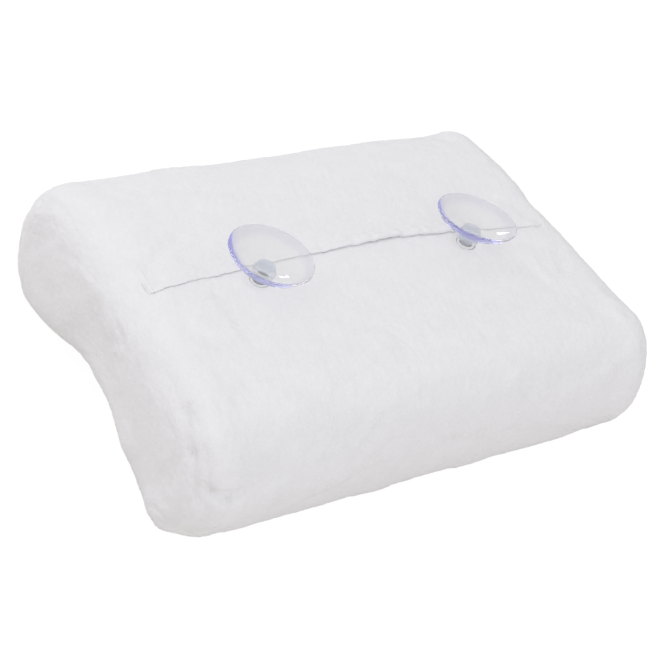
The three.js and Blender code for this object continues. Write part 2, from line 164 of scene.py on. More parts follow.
def mix_colour(tree, share, first, second):
    """A mix of two colours, each a socket or three numbers. A mix node takes them as inputs 6 and 7."""
    first, second = [c if isinstance(c, bpy.types.NodeSocket) else (*c, 1) for c in (first, second)]
    node = add_node(tree, "ShaderNodeMix", {0: share, 6: first, 7: second}, data_type="RGBA")
    return node.outputs[2]


def new_tree(owner):
    owner.use_nodes = True
    owner.node_tree.nodes.clear()
    return owner.node_tree


def new_material(name):
    """A material and its empty node tree."""
    material = bpy.data.materials.new(name)
    return material, new_tree(material)


NODE_HELPERS = (add_node, math_node, vector_node, mix_colour, new_tree, new_material)
print("Made the helpers", ", ".join(helper.__name__ for helper in NODE_HELPERS))

# %% [markdown]
# The pillow stands in plain soft studio light. A white world, a little darker to both sides and
# most to the right, does most of the work. One lamp up to the left and behind brightens the back
# panel, and a wide one brightens the front. A small one low behind, which only reflections see,
# puts the bright glint on the near rims of the suction cups. The floor and the world are white to
# the camera, to reflections and to what is seen through the cups, as long as the ray hasn't met a
# matt surface on its way. The floor keeps some of its own shading, so that the pillow still has a
# soft shadow under it.

# %% Light the stage
WORLD_LEVEL, WORLD_FALL, RIGHT_FALL = 0.92, 0.35, 0.1
LAMPS = {
    "window": {"place": (-0.6, 0.55, 1.1), "size": 0.8, "watts": 4.0, "on_matt": True},
    "front": {"place": (-0.1, -1.45, 0.6), "size": 1.2, "watts": 3.3, "on_matt": True},
    "glint": {"place": (0.77, 1.34, 0.44), "size": 0.2, "watts": 6.0, "on_matt": False},
}
FLOOR_SIZE = 8
FLOOR_WHITE, FLOOR_WHITE_SHARE = 1.05, 0.92
FLOOR_GRAIN = 40.0
FLOOR_PAPER = ((0.78, 0.75, 0.715), (0.82, 0.79, 0.755))


def seen_directly(tree):
    """1 for rays that show the background: to the camera, reflected, or through something clear."""
    path = add_node(tree, "ShaderNodeLightPath").outputs
    shown = math_node(tree, "MAXIMUM", path["Is Camera Ray"], path["Is Glossy Ray"])
    shown = math_node(tree, "MAXIMUM", shown, path["Is Transmission Ray"])
    not_scattered = math_node(tree, "LESS_THAN", path["Diffuse Depth"], 0.5)
    return math_node(tree, "MULTIPLY", shown, not_scattered)


def light_world():
    world = bpy.data.worlds.new("studio")
    bpy.context.scene.world = world
    tree = new_tree(world)
    ray = add_node(tree, "ShaderNodeTexCoord").outputs["Generated"]
    right = add_node(tree, "ShaderNodeSeparateXYZ", {0: ray}).outputs["X"]
    level = math_node(tree, "MULTIPLY_ADD", math_node(tree, "ABSOLUTE", right), -WORLD_FALL, WORLD_LEVEL)
    level = math_node(tree, "MULTIPLY_ADD", right, -RIGHT_FALL, level)
    up_to_white = math_node(tree, "SUBTRACT", 1.0, level)
    strength = math_node(tree, "MULTIPLY_ADD", seen_directly(tree), up_to_white, level)
    sky = add_node(tree, "ShaderNodeBackground", {"Color": (1, 1, 1, 1), "Strength": strength})
    add_node(tree, "ShaderNodeOutputWorld", {"Surface": sky.outputs[0]})


def add_lamp(name, place, size, watts, on_matt):
    lamp = bpy.data.lights.new(name, "AREA")
    lamp.size = size
    lamp.energy = watts
    made = linked(name, lamp)
    made.location = place
    made.rotation_euler = (LOOK_AT - Vector(place)).to_track_quat("-Z", "Y").to_euler()
    made.visible_diffuse = on_matt


def floor_material():
    material, tree = new_material("pale_floor")
    grain = add_node(tree, "ShaderNodeTexNoise", {"Scale": FLOOR_GRAIN, "Detail": 3.0})
    paper = mix_colour(tree, grain.outputs[0], *FLOOR_PAPER)
    shaded = add_node(tree, "ShaderNodeBsdfDiffuse", {"Color": paper})
    white = add_node(tree, "ShaderNodeEmission", {"Color": (1, 1, 1, 1), "Strength": FLOOR_WHITE})
    share = math_node(tree, "MULTIPLY", seen_directly(tree), FLOOR_WHITE_SHARE)
    mixed = add_node(tree, "ShaderNodeMixShader", {0: share, 1: shaded.outputs[0], 2: white.outputs[0]})
    add_node(tree, "ShaderNodeOutputMaterial", {"Surface": mixed.outputs[0]})
    return material


def add_floor():
    half = FLOOR_SIZE / 2
    corners = [(-half, -half, 0), (half, -half, 0), (half, half, 0), (-half, half, 0)]
    mesh = bpy.data.meshes.new("floor")
    mesh.from_pydata(corners, [], [(0, 1, 2, 3)])
    mesh.materials.append(floor_material())
    floor = linked("floor", mesh)
    floor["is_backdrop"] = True


light_world()
for name, lamp in LAMPS.items():
    add_lamp(name, **lamp)
add_floor()
bpy.context.scene.view_settings.view_transform = "Standard"
print("World at", WORLD_LEVEL, "with lamps", ", ".join(LAMPS))

# %% [markdown]
# The pillow's form is one closed surface. Its cross section is seven smooth curves: a hollow
# between two lobes, a rounded front, a level back panel and a rounded back. A sculpted or
# subdivided block could give a like shape, but a formula gives the same surface at any fineness and
# says at once where the seams and the closure lie. Along the pillow the section is swept straight,
# and at each end it shrinks round a quarter turn.

# %% Sizes of the stuffed form
LENGTH = 2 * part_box("right_end_panel")[1].x
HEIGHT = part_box("lower_back_panel")[1].z
DEPTH = 234 * MM
FRONT_FOOT_SETBACK = 42 * MM
BACK_FOOT_SETBACK = 23 * MM
HOLLOW_Y = -1 * MM
HOLLOW_DEPTH = 22 * MM
FRONT_FACE_Z = 53 * MM
BACK_FACE_Z = 44 * MM
FRONT_SHOULDER = 31 * MM
BACK_SHOULDER = 55 * MM
END_ROUNDING = 22.5 * MM
FOOT_FLAT = 0.5 * MM
CROWN = 2 * MM
END_DRAW = 3.5 * MM
SIDE_DRAW = 1.5 * MM
INSET_DRIFT = 0.25
HOLLOW_EASE, FOOT_FULLNESS, SHOULDER_FULLNESS, PANEL_EASE = 0.4, 0.42, 0.6, 1 / 3

STRAIGHT = LENGTH / 2 - END_ROUNDING
END_SEAM = STRAIGHT + END_ROUNDING * math.pi / 4
END_TURN = STRAIGHT + END_ROUNDING * math.pi / 2
UNDER_SEAM = 0.35
print("Pillow", [round(size / MM, 1) for size in (LENGTH, DEPTH, HEIGHT)], "mm")

# %% The cross section and the swept form
SECTION_EASE = np.array([
    HOLLOW_EASE, HOLLOW_EASE, FOOT_FULLNESS, SHOULDER_FULLNESS,
    PANEL_EASE, SHOULDER_FULLNESS, FOOT_FULLNESS,
])
LEAVES_LEVEL = np.array([1, 1, 1, 0, 1, 1, 0])
ARRIVES_LEVEL = np.array([1, 1, 0, 1, 1, 0, 1])


def section(u, inset):
    """Points (y, z) of the cross section, inset under its outline. A whole number of u starts a curve."""
    u, inset = np.broadcast_arrays(np.asarray(u, float), np.asarray(inset, float))
    drift, low, high, still = INSET_DRIFT * inset, inset - FOOT_FLAT, HEIGHT - inset, 0 * inset
    front, back = -DEPTH / 2, DEPTH / 2
    stations = np.stack([
        np.stack([back - BACK_FOOT_SETBACK - drift, low], -1),
        np.stack([HOLLOW_Y + still, HOLLOW_DEPTH + inset], -1),
        np.stack([front + FRONT_FOOT_SETBACK + drift, low], -1),
        np.stack([front + inset, FRONT_FACE_Z + still], -1),
        np.stack([front + FRONT_SHOULDER + drift, high], -1),
        np.stack([back - BACK_SHOULDER - drift, high], -1),
        np.stack([back - inset, BACK_FACE_Z + still], -1),
    ])
    curve = np.floor(u).astype(int) % len(stations)
    t = (u - np.floor(u))[..., None]
    start = np.take_along_axis(stations, curve[None, ..., None], 0)[0]
    stop = np.take_along_axis(stations, (curve[None, ..., None] + 1) % len(stations), 0)[0]
    reach = (stop - start) * SECTION_EASE[curve][..., None]
    level, upright = np.array([1, 0]), np.array([0, 1])
    leave = start + reach * np.where(LEAVES_LEVEL[curve][..., None], level, upright)
    arrive = stop - reach * np.where(ARRIVES_LEVEL[curve][..., None], level, upright)
    s = 1 - t
    return s**3 * start + 3 * s**2 * t * leave + 3 * s * t**2 * arrive + t**3 * stop


def smooth_step(value, low, high):
    t = np.clip((value - low) / (high - low), 0, 1)
    return t * t * (3 - 2 * t)


def relaxed(x, y, z):
    """The stuffed form draws in between its corners and crowns in the middle of its back panel."""
    along_x = np.minimum(1, np.abs(2 * x / LENGTH))
    along_y = np.minimum(1, np.abs(2 * y / DEPTH))
    along_end = np.minimum(1, np.abs(y) / (DEPTH / 2 - END_ROUNDING))
    into_end = np.maximum(0, np.abs(x) - STRAIGHT) / END_ROUNDING
    fall = 1 - (1 - along_x**2) * (1 - along_y**2)
    return np.stack([
        x - np.sign(x) * END_DRAW * (1 - along_end**2) * into_end**2,
        y * (1 - 2 * SIDE_DRAW / DEPTH * (1 - along_x**2)),
        np.maximum(0, z - CROWN * fall * smooth_step(z, HEIGHT / 2, HEIGHT)),
    ], -1)


def pillow(u, v, inset=0.0):
    """Points of the pillow: u runs round the section, v along the cloth from the middle of the length."""
    u, v, inset = np.broadcast_arrays(np.asarray(u, float), np.asarray(v, float), np.asarray(inset, float))
    turn = np.maximum(0, np.abs(v) - STRAIGHT) / END_ROUNDING
    rounding = END_ROUNDING - inset
    x = np.sign(v) * (np.minimum(np.abs(v), STRAIGHT) + rounding * np.sin(turn))
    at = section(u, END_ROUNDING - rounding * np.cos(turn))
    return relaxed(x, at[..., 0], at[..., 1])


def panel_u(y):
    """Where a line along the back panel lies round the section."""
    front, back = -DEPTH / 2 + FRONT_SHOULDER, DEPTH / 2 - BACK_SHOULDER
    return 4 + (y - front) / (back - front)


hollow_height, panel_height = pillow(1, 0)[2], pillow(panel_u(0), 0)[2]
print("Hollow", round(hollow_height / MM, 1), "and back panel", round(panel_height / MM, 1), "mm high")

# %% [markdown]
# A cover cage of about five millimetre squares follows that form. Round the section its lines fall
# exactly on the sewn seams, the closure and the flap's root, so that each panel can be lifted out
# of it later. Each end is closed by a grid of its own, whose outer layers turn round the edge and
# whose middle fills the end flat.

# %% Lines of the cover cage
SLIT_Y = -1 * MM
FLAP_WIDTH = 18 * MM
BOTTOM_STEPS, SIDE_STEPS, FRONT_PANEL_STEPS, FLAP_STEPS = 40, 16, 20, 4
BACK_PANEL_STEPS = BOTTOM_STEPS - FRONT_PANEL_STEPS - FLAP_STEPS
STRAIGHT_STEPS, TURN_STEPS = 50, 4
EVENING_ROUNDS = 300
OUTLINE_SAMPLES = 400


def even_steps(start, stop, count):
    """Places round the section from start up to stop, evenly spaced along the outline."""
    fine = np.linspace(start, stop, OUTLINE_SAMPLES)
    strides = np.linalg.norm(np.diff(section(fine, 0.0), axis=0), axis=1)
    along = np.concatenate([[0], np.cumsum(strides)])
    return np.interp(np.linspace(0, along[-1], count + 1), along, fine)[:-1]


FRONT_SEAM_U, BACK_SEAM_U = 2 + UNDER_SEAM, 7 - UNDER_SEAM
FRONT_CORNER_U, BACK_CORNER_U = 3.5, 5.5
SLIT_U, ROOT_U = panel_u(SLIT_Y), panel_u(SLIT_Y + FLAP_WIDTH)
ring_u = np.concatenate([
    even_steps(BACK_SEAM_U - 7, FRONT_SEAM_U, BOTTOM_STEPS),
    even_steps(FRONT_SEAM_U, FRONT_CORNER_U, SIDE_STEPS),
    even_steps(FRONT_CORNER_U, SLIT_U, FRONT_PANEL_STEPS),
    even_steps(SLIT_U, ROOT_U, FLAP_STEPS),
    even_steps(ROOT_U, BACK_CORNER_U, BACK_PANEL_STEPS),
    even_steps(BACK_CORNER_U, BACK_SEAM_U, SIDE_STEPS),
])
FRONT_SEAM = BOTTOM_STEPS
SLIT = BOTTOM_STEPS + SIDE_STEPS + FRONT_PANEL_STEPS
ROOT = SLIT + FLAP_STEPS
RING = len(ring_u)
turn_v = np.linspace(STRAIGHT, END_SEAM, TURN_STEPS + 1)[1:]
row_v = np.concatenate([-turn_v[::-1], np.linspace(-STRAIGHT, STRAIGHT, STRAIGHT_STEPS + 1), turn_v])
ROWS = len(row_v)
print("Cage of", ROWS, "rows and", RING, "points round, with end grids of", BOTTOM_STEPS, "by", SIDE_STEPS)

# %% Points of the cage


def border_place(i, j):
    """Place along the ring of a point on the border of an end grid, in ring steps."""
    top = BOTTOM_STEPS + SIDE_STEPS
    near = 1e-6
    return np.select(
        [j < near, i > BOTTOM_STEPS - near, j > SIDE_STEPS - near],
        [i, BOTTOM_STEPS + j, top + BOTTOM_STEPS - i],
        top + BOTTOM_STEPS + SIDE_STEPS - j,
    )


def ring_place_u(place):
    return np.interp(place, np.arange(RING + 1), np.append(ring_u, BACK_SEAM_U))


def end_grid(side, inset):
    """One end: layers that turn round the edge, and a flat middle stretched between their last ring."""
    i, j = np.meshgrid(np.arange(BOTTOM_STEPS + 1.0), np.arange(SIDE_STEPS + 1.0), indexing="ij")
    layer = np.minimum(np.minimum(i, BOTTOM_STEPS - i), np.minimum(j, SIDE_STEPS - j))
    layer = np.minimum(layer, TURN_STEPS)
    wide, tall = BOTTOM_STEPS - 2 * layer, SIDE_STEPS - 2 * layer
    place = border_place((i - layer) * BOTTOM_STEPS / wide, (j - layer) * SIDE_STEPS / tall)
    v = END_SEAM + (END_TURN - END_SEAM) * layer / TURN_STEPS
    points = pillow(ring_place_u(place), side * v, inset)
    core = points[TURN_STEPS:-TURN_STEPS, TURN_STEPS:-TURN_STEPS]
    s = np.linspace(0, 1, core.shape[0])[:, None, None]
    t = np.linspace(0, 1, core.shape[1])[None, :, None]
    across = (1 - s) * core[:1] + s * core[-1:]
    upward = (1 - t) * core[:, :1] + t * core[:, -1:]
    corners = (1 - s) * (1 - t) * core[0, 0] + s * (1 - t) * core[-1, 0]
    corners = corners + (1 - s) * t * core[0, -1] + s * t * core[-1, -1]
    core = across + upward - corners
    for _ in range(EVENING_ROUNDS):
        core[1:-1, 1:-1] = (core[2:, 1:-1] + core[:-2, 1:-1] + core[1:-1, 2:] + core[1:-1, :-2]) / 4
    points[TURN_STEPS:-TURN_STEPS, TURN_STEPS:-TURN_STEPS] = core
    return points


def cage_points(inset):
    tube = pillow(ring_u[None, :], row_v[:, None], inset)
    return tube, {side: end_grid(side, inset) for side in (-1, 1)}


print("Each end grid has", (BOTTOM_STEPS + 1) * (SIDE_STEPS + 1), "points")

# %% [markdown]
# A sewn cover is never as smooth as a formula: it swells between its seams and puckers beside them.
# Cloth simulation gives that for free. The cage starts a little under its real size with a little
# more cloth than it needs, its seams are pinned, and air pressure pushes the rest out. The foam
# inside doesn't inflate, so the wide swelling is held down afterwards and only the small folds stay
# as they came. The result is read back from the simulated mesh, so that no simulation is left in
# the scene.

# %% One closed mesh from the cage
cage_count = ROWS * RING
tube_index = np.arange(cage_count).reshape(ROWS, RING)
end_index = {}
for side, row in ((-1, 0), (1, ROWS - 1)):
    i, j = np.meshgrid(np.arange(BOTTOM_STEPS + 1), np.arange(SIDE_STEPS + 1), indexing="ij")
    index = tube_index[row, border_place(i, j) % RING]
    inner = (BOTTOM_STEPS - 1) * (SIDE_STEPS - 1)
    index[1:-1, 1:-1] = cage_count + np.arange(inner).reshape(BOTTOM_STEPS - 1, SIDE_STEPS - 1)
    cage_count += inner
    end_index[side] = index


def grid_quads(index):
    return np.stack([index[:-1, :-1], index[1:, :-1], index[1:, 1:], index[:-1, 1:]], -1).reshape(-1, 4)


wrapped = np.concatenate([tube_index, tube_index[:, :1]], 1)
cage_quads = np.concatenate([
    grid_quads(wrapped),
    grid_quads(end_index[-1]),
    grid_quads(end_index[1])[:, ::-1],
])


def cage_vertices(tube, ends):
    points = np.zeros((cage_count, 3))
    points[tube_index] = tube
    for side, index in end_index.items():
        points[index[1:-1, 1:-1]] = ends[side][1:-1, 1:-1]
    return points


def new_object(name, points, faces):
    """A mesh object. Faces of unlike lengths come as a list, and all others as an array."""
    mesh = bpy.data.meshes.new(name)
    faces = faces if isinstance(faces, list) else faces.tolist()
    mesh.from_pydata(np.asarray(points).tolist(), [], faces)
    return linked(name, mesh)


def discard(piece):
    mesh = piece.data
    bpy.data.objects.remove(piece)
    bpy.data.meshes.remove(mesh)


print("Closed cage of", cage_count, "points and", len(cage_quads), "squares")

# %% Swell the cover by cloth simulation
START_INSET = 0.7 * MM
SPARE_CLOTH = 0.02
AIR_PRESSURE = 0.6
SWELL_FRAMES = 20
WIDE_SWELL = 1.2 * MM
FOLD_SWELL = 0.5 * MM
SMOOTHING_ROUNDS = 30
CLOTH_SETTINGS = {
    "quality": 6,
    "mass": 0.2,
    "tension_stiffness": 12,
    "compression_stiffness": 12,
    "shear_stiffness": 4,
    "bending_stiffness": 0.3,
    "shrink_min": -SPARE_CLOTH,
    "use_pressure": True,
    "uniform_pressure_force": AIR_PRESSURE,
    "vertex_group_mass": "seams",
}


def seam_points():
    return np.unique(np.concatenate([
        tube_index[[0, -1]].ravel(),
        tube_index[:, [0, FRONT_SEAM]].ravel(),
    ]))


def blow_up(points):
    """The cage's points after cloth simulation, with the seams held."""
    cover = new_object("cover_cage", points, cage_quads)
    held = cover.vertex_groups.new(name="seams")
    held.add(seam_points().tolist(), 1.0, "REPLACE")
    cloth = cover.modifiers.new("cloth", "CLOTH")
    for name, value in CLOTH_SETTINGS.items():
        setattr(cloth.settings, name, value)
    cloth.settings.effector_weights.gravity = 0
    cloth.collision_settings.use_collision = False
    for number in range(1, SWELL_FRAMES + 1):
        bpy.context.scene.frame_set(number)
    shown = cover.evaluated_get(bpy.context.evaluated_depsgraph_get()).to_mesh()
    moved = np.zeros(cage_count * 3)
    shown.vertices.foreach_get("co", moved)
    discard(cover)
    bpy.context.scene.frame_set(1)
    return moved.reshape(-1, 3)


def averaged(values, rounds):
    """Values smoothed over neighbouring points of the cage."""
    a, b = np.concatenate([cage_quads[:, [k, (k + 1) % 4]] for k in range(4)]).T
    share = np.bincount(a, minlength=cage_count)[:, None]
    for _ in range(rounds):
        total = np.stack([np.bincount(a, values[b, axis], cage_count) for axis in range(3)], -1)
        values = total / share
    return values


def capped(move, most):
    length = np.linalg.norm(move, axis=1, keepdims=True)
    return move * most * np.tanh(length / most) / np.maximum(length, 1e-9)


smaller = cage_vertices(*cage_points(START_INSET))
swelling = blow_up(smaller) - smaller
wide = averaged(swelling, SMOOTHING_ROUNDS)
cage = smaller + capped(wide, WIDE_SWELL) + capped(swelling - wide, FOLD_SWELL)
cage[:, 2] = np.maximum(cage[:, 2], 0)
print("Cover swelled at most", round(np.linalg.norm(cage - smaller, axis=1).max() / MM, 2), "mm")

# %% [markdown]
# Every panel of the cover is a finer grid on that swollen surface. Subdivision could refine the
# cage too, but smooth curves through its points, in both directions, give a grid whose rows and
# columns stay known, so that the closure, the seams and the pile can be placed on it by number.

# %% A smooth surface through the cage
FINE = 4


def spline_weights(places, count, closed=False):
    """Weights of a smooth curve through count points, one line of weights for each place along it."""
    places = np.asarray(places, float)
    first = np.floor(places).astype(int)
    if not closed:
        first = np.clip(first, 0, count - 2)
    t = (places - first)[:, None]
    near = np.concatenate([
        -t + 2 * t**2 - t**3,
        2 - 5 * t**2 + 3 * t**3,
        t + 4 * t**2 - 3 * t**3,
        -t**2 + t**3,
    ], 1) / 2
    line = np.arange(len(places))
    if closed:
        weights = np.zeros((len(places), count))
        for step in range(4):
            np.add.at(weights, (line, (first + step - 1) % count), near[:, step])
        return weights
    weights = np.zeros((len(places), count + 2))
    for step in range(4):
        np.add.at(weights, (line, first + step), near[:, step])
    own = np.eye(count)
    return weights @ np.vstack([2 * own[0] - own[1], own, 2 * own[-1] - own[-2]])


def fine_grid(points, closed):
    """A grid with FINE times as many steps both ways. closed joins the last column to the first."""
    rows, columns = points.shape[:2]
    along = spline_weights(np.arange((rows - 1) * FINE + 1) / FINE, rows)
    last = columns * FINE if closed else (columns - 1) * FINE + 1
    around = spline_weights(np.arange(last) / FINE, columns, closed)
    return np.einsum("ar,rcx,bc->abx", along, points, around, optimize=True)


def unit(vectors):
    return vectors / np.maximum(np.linalg.norm(vectors, axis=-1, keepdims=True), 1e-12)


def grid_normals(points, closed=False):
    if closed:
        points = np.concatenate([points[:, -2:], points, points[:, :2]], 1)
    normals = unit(np.cross(np.gradient(points, axis=0), np.gradient(points, axis=1)))
    return normals[:, 2:-2] if closed else normals


body = fine_grid(cage[tube_index], True)
body_normals = grid_normals(body, True)
fine_v = np.interp(np.arange(len(body)) / FINE, np.arange(ROWS), row_v)
ends, end_normals = {}, {}
for side, row in ((-1, 0), (1, -1)):
    ends[side] = fine_grid(cage[end_index[side]], False)
    i, j = np.meshgrid(*[np.arange(size) / FINE for size in ends[side].shape[:2]], indexing="ij")
    edge = (i <= 0) | (j <= 0) | (i >= BOTTOM_STEPS) | (j >= SIDE_STEPS)
    edge_place = np.rint(border_place(i, j)[edge] * FINE).astype(int) % (RING * FINE)
    ends[side][edge] = body[row, edge_place]
    end_normals[side] = -side * grid_normals(ends[side])
    end_normals[side][edge] = body_normals[row, edge_place]
print("Fine body of", body.shape[0], "by", body.shape[1], "points, ends of", ends[1].shape[:2])

# %% [markdown]
# Towelling is a short, dense pile. From arm's length it shows as a faint mottle and a slightly
# ragged outline, so each point of the fine grids is moved in or out by a fraction of a millimetre.
# Wider ripples, a few listed creases and the dents that the photograph shows come from the
# place of the point, so they run on across seams.

# %% Pile, ripples and creases
PILE_HEIGHT = 0.2 * MM
RIPPLES = ((40 * MM, 0.14 * MM), (13 * MM, 0.04 * MM), (5 * MM, 0.05 * MM))
WAVES, WAVE_SPREAD = 14, (0.7, 1.5)
# Each crease is a start and a stop in millimetres, a width and a height, below zero for a groove.
CREASES = [
    ((-144, -50, 88), (-145, -76, 86), 4.0, -0.7),
    ((-145, -76, 86), (-148.5, -95, 77), 4.0, -1.2),
    ((-148.5, -95, 77), (-147.5, -106, 58), 4.0, -1.4),
    ((-135, -40, 95), (-136, -78, 94), 8.0, 0.9),
    ((-136, -78, 94), (-140, -98, 88), 8.0, 1.5),
    ((-140, -98, 88), (-140, -111, 68), 8.0, 1.5),
    ((-143, -108, 65), (-137, -113, 64), 3.6, -3.6),
    ((-137, -113, 64), (-129, -115, 67), 3.2, -3.0),
    ((-128, -116, 60), (-72, -115, 58), 10.0, 1.8),
    ((-150, -86, 30), (-146, -98, 34), 12.0, 1.5),
    ((-20, -61, 98), (-13, -74, 97), 1.7, -0.45),
    ((-14, -60, 98), (-9, -69, 97), 1.5, -0.35),
    ((-141, 5, 90), (-133, 2, 95), 2.4, -0.8),
    ((-144, -27, 87), (-134, -23, 94), 2.6, -0.9),
    ((143, 50, 92), (144, -85, 90), 17.0, 2.4),
    ((144, 16, 92), (146, 14, 88), 9.0, -2.0),
    ((126, 91, 90), (133, 86, 91), 9.0, 1.6),
    ((-124, 93, 88), (-60, 94, 88), 12.0, 1.3),
    ((30, 94, 88), (126, 92, 88), 12.0, 1.3),
    ((-112, -106, 28), (98, -104, 28), 17.0, 2.9),
    ((-142, 4, 30), (-147, -40, 28), 13.0, 2.4),
    ((-149, -80, 18), (-148, -91, 19), 9.0, 2.6),
    ((-143, -101, 22), (-136, -108, 29), 8.0, -2.6),
]


def ripple(points, size, height, seed):
    """Rounded unevenness: several waves of about one size, in directions drawn by lot."""
    random = np.random.default_rng(seed)
    total = np.zeros(points.shape[:-1])
    for _ in range(WAVES):
        direction = unit(random.normal(size=3)) * 2 * math.pi / (size * random.uniform(*WAVE_SPREAD))
        total += np.sin(points @ direction + random.uniform(0, 2 * math.pi))
    return height * total / math.sqrt(WAVES / 2)


def crease(points, start, stop, width, height):
    """A straight fold or, with a negative height, a straight crease, that dies out at its ends."""
    start, stop = np.array(start) * MM, np.array(stop) * MM
    along = (points - start) @ (stop - start) / ((stop - start) @ (stop - start))
    nearest = start + np.clip(along, 0, 1)[..., None] * (stop - start)
    distance = np.linalg.norm(points - nearest, axis=-1)
    return height * MM * np.exp(-(distance / (width * MM))**2)


def surface_detail(points, seed):
    random = np.random.default_rng(seed)
    total = PILE_HEIGHT * random.uniform(-1, 1, points.shape[:-1])
    for number, (size, height) in enumerate(RIPPLES):
        total += ripple(points, size, height, number)
    for fold in CREASES:
        total += crease(points, *fold)
    return total


body_detail = surface_detail(body, 1)
end_detail = {}
for side, row in ((-1, 0), (1, -1)):
    end_detail[side] = surface_detail(ends[side], 2 + side)
    end_detail[side][edge] = body_detail[row, edge_place]
print("Surface detail of up to", round(np.abs(body_detail).max() / MM, 2), "mm")

# %% [markdown]
# The closure is an overlap. The flap is the front edge of the upper panel, folded back and hemmed,
# and under it the lower panel dips down and runs on as an underlap, where the two closure tapes
# grip. On the used pillow the flap's lip wanders and puffs up most in the middle. Two short lists
# of knots say how far it wanders and lifts, from the left end of the slit to its right end.

# %% Shape of the closure
LIP_WANDER = np.array([-3.0, -0.3, 0.9, 1.6, 2.4, 3.2, 3.8, 1.2, 0.2, -3.4, -5.4]) * MM
LIP_LIFT = np.array([0.0, 0.3, 0.5, 0.8, 1.3, 2.2, 2.9, 2.4, 1.7, 1.0, 0.0]) * MM
LIP_WOBBLE_SIZES = (6.7 * MM, 11.3 * MM, 17.9 * MM, 29.0 * MM)
LIP_WOBBLE = 0.12 * MM
LIFT_WOBBLE = 0.08
LIP_THICKNESS = 0.8 * MM
LIP_SWELL = 0.5
FLAP_THICKNESS = 2.2 * MM
COVER_THICKNESS = 2.2 * MM
LIP_CLEARANCE = 0.03 * MM
PUFF_REACH = 12 * MM
FOLLOWS_LIP = 0.97
GAPE, GAPE_PLACE, GAPE_REACH = 0.45 * MM, 14 * MM, 12 * MM
DIP_REACH = 6 * MM
WANDER_REACH = 14 * MM
RAMP_START, RAMP_END = 1.5 * MM, 6 * MM
TUCK_END = 22 * MM
SLIT_END_FADE = 3 * MM
TAPE_THICKNESS = 0.9 * MM
TAPE_GAP = 0.3 * MM
SLIT_COLUMN, ROOT_COLUMN = SLIT * FINE, ROOT * FINE

stride = np.linalg.norm(np.diff(body[len(body) // 2], axis=0), axis=1)
from_slit = np.concatenate([[0], np.cumsum(stride)])
from_slit = from_slit - from_slit[SLIT_COLUMN]
slit_place = np.clip((fine_v + STRAIGHT) / (2 * STRAIGHT) * (len(LIP_LIFT) - 1), 0, len(LIP_LIFT) - 1)
knots = spline_weights(slit_place, len(LIP_LIFT))
past_slit = 1 - smooth_step(np.abs(fine_v), STRAIGHT, END_SEAM)
wobble = sum(np.sin(2 * math.pi * fine_v / size + size / MM) for size in LIP_WOBBLE_SIZES)
lip_wander = ((knots @ LIP_WANDER + LIP_WOBBLE * wobble) * past_slit)[:, None]
lip_lift = (knots @ LIP_LIFT * (1 + LIFT_WOBBLE * wobble))[:, None]
across = from_slit[None, :]

body_across = unit(np.gradient(body, axis=1))
wander = lip_wander * (1 - smooth_step(np.abs(across), 0, WANDER_REACH))
body = body + wander[..., None] * body_across

flap_share = np.clip(across / FLAP_WIDTH, 0, 1)
flap_top = lip_lift * (1 - smooth_step(across, 0, PUFF_REACH))
lip_cloth = LIP_THICKNESS + LIP_SWELL * lip_lift
flap_cloth = lip_cloth + (FLAP_THICKNESS - lip_cloth) * flap_share
flap_under = flap_top - flap_cloth
tape_room = 2 * TAPE_THICKNESS + 3 * TAPE_GAP
under_lip = lip_lift - lip_cloth - LIP_CLEARANCE
under_lip = np.where(under_lip > 0, FOLLOWS_LIP * under_lip, under_lip)
under_lip = under_lip - GAPE * np.exp(-((fine_v - GAPE_PLACE) / GAPE_REACH)**2)[:, None]
dip = under_lip * (1 - smooth_step(-across, 0, DIP_REACH))
ramp = smooth_step(across, RAMP_START, RAMP_END)
underlap_top = (1 - ramp) * under_lip + ramp * (flap_under - tape_room)
to_slit_end = 1 - smooth_step(np.abs(fine_v), STRAIGHT, STRAIGHT + SLIT_END_FADE)[:, None]
lower_rise = np.where(across > 0, underlap_top, dip) * to_slit_end
print("Lip lifts up to", round(lip_lift.max() / MM, 1), "mm")
print("Lip wanders by", round(np.ptp(lip_wander) / MM, 1), "mm")

# %% [markdown]
# A panel of cloth is a thin closed slab: the piled face, a smooth face under it and a narrow wall
# round the edge. One function makes all of them from two grids of points, and a mask says which
# squares belong to the panel, so that the eyelets' holes and the underlap need no cutting
# afterwards.

# %% A panel of cloth from two grids
EDGE_ANGLE = math.radians(55)
SEAM_SHARE = 0.15


def finish_mesh(piece):
    piece.data.shade_smooth()
    piece.data.set_sharp_from_angle(angle=EDGE_ANGLE)
    return piece


def slab(name, outer, inner, used=None):
    """A closed piece between two grids, with walls round the squares that are used."""
    count = outer.shape[0] * outer.shape[1]
    top = grid_quads(np.arange(count).reshape(outer.shape[:2]))
    if used is not None:
        top = top[used.ravel()]
    sides = np.concatenate([top[:, [k, (k + 1) % 4]] for k in range(4)])
    inward = np.isin(sides[:, 0] * count + sides[:, 1], sides[:, 1] * count + sides[:, 0])
    rim = sides[~inward]
    walls = np.column_stack([rim[:, 1], rim[:, 0], rim[:, 0] + count, rim[:, 1] + count])
    faces = np.concatenate([top, top[:, ::-1] + count, walls])
    kept, faces = np.unique(faces, return_inverse=True)
    points = np.concatenate([outer.reshape(-1, 3), inner.reshape(-1, 3)])
    return finish_mesh(new_object(name, points[kept], faces.reshape(-1, 4)))


def drawn_in(points, share, ends_only=False):
    """Draws the outer rows and columns of a grid towards their neighbours, by a share of one step."""
    points = points.copy()
    points[0] += share * (points[1] - points[0])
    points[-1] += share * (points[-2] - points[-1])
    if not ends_only:
        points[:, 0] += share * (points[:, 1] - points[:, 0])
        points[:, -1] += share * (points[:, -2] - points[:, -1])
    return points


def ring_slice(values, start, stop):
    return np.take(values, np.arange(start, stop + 1) % values.shape[1], axis=1)


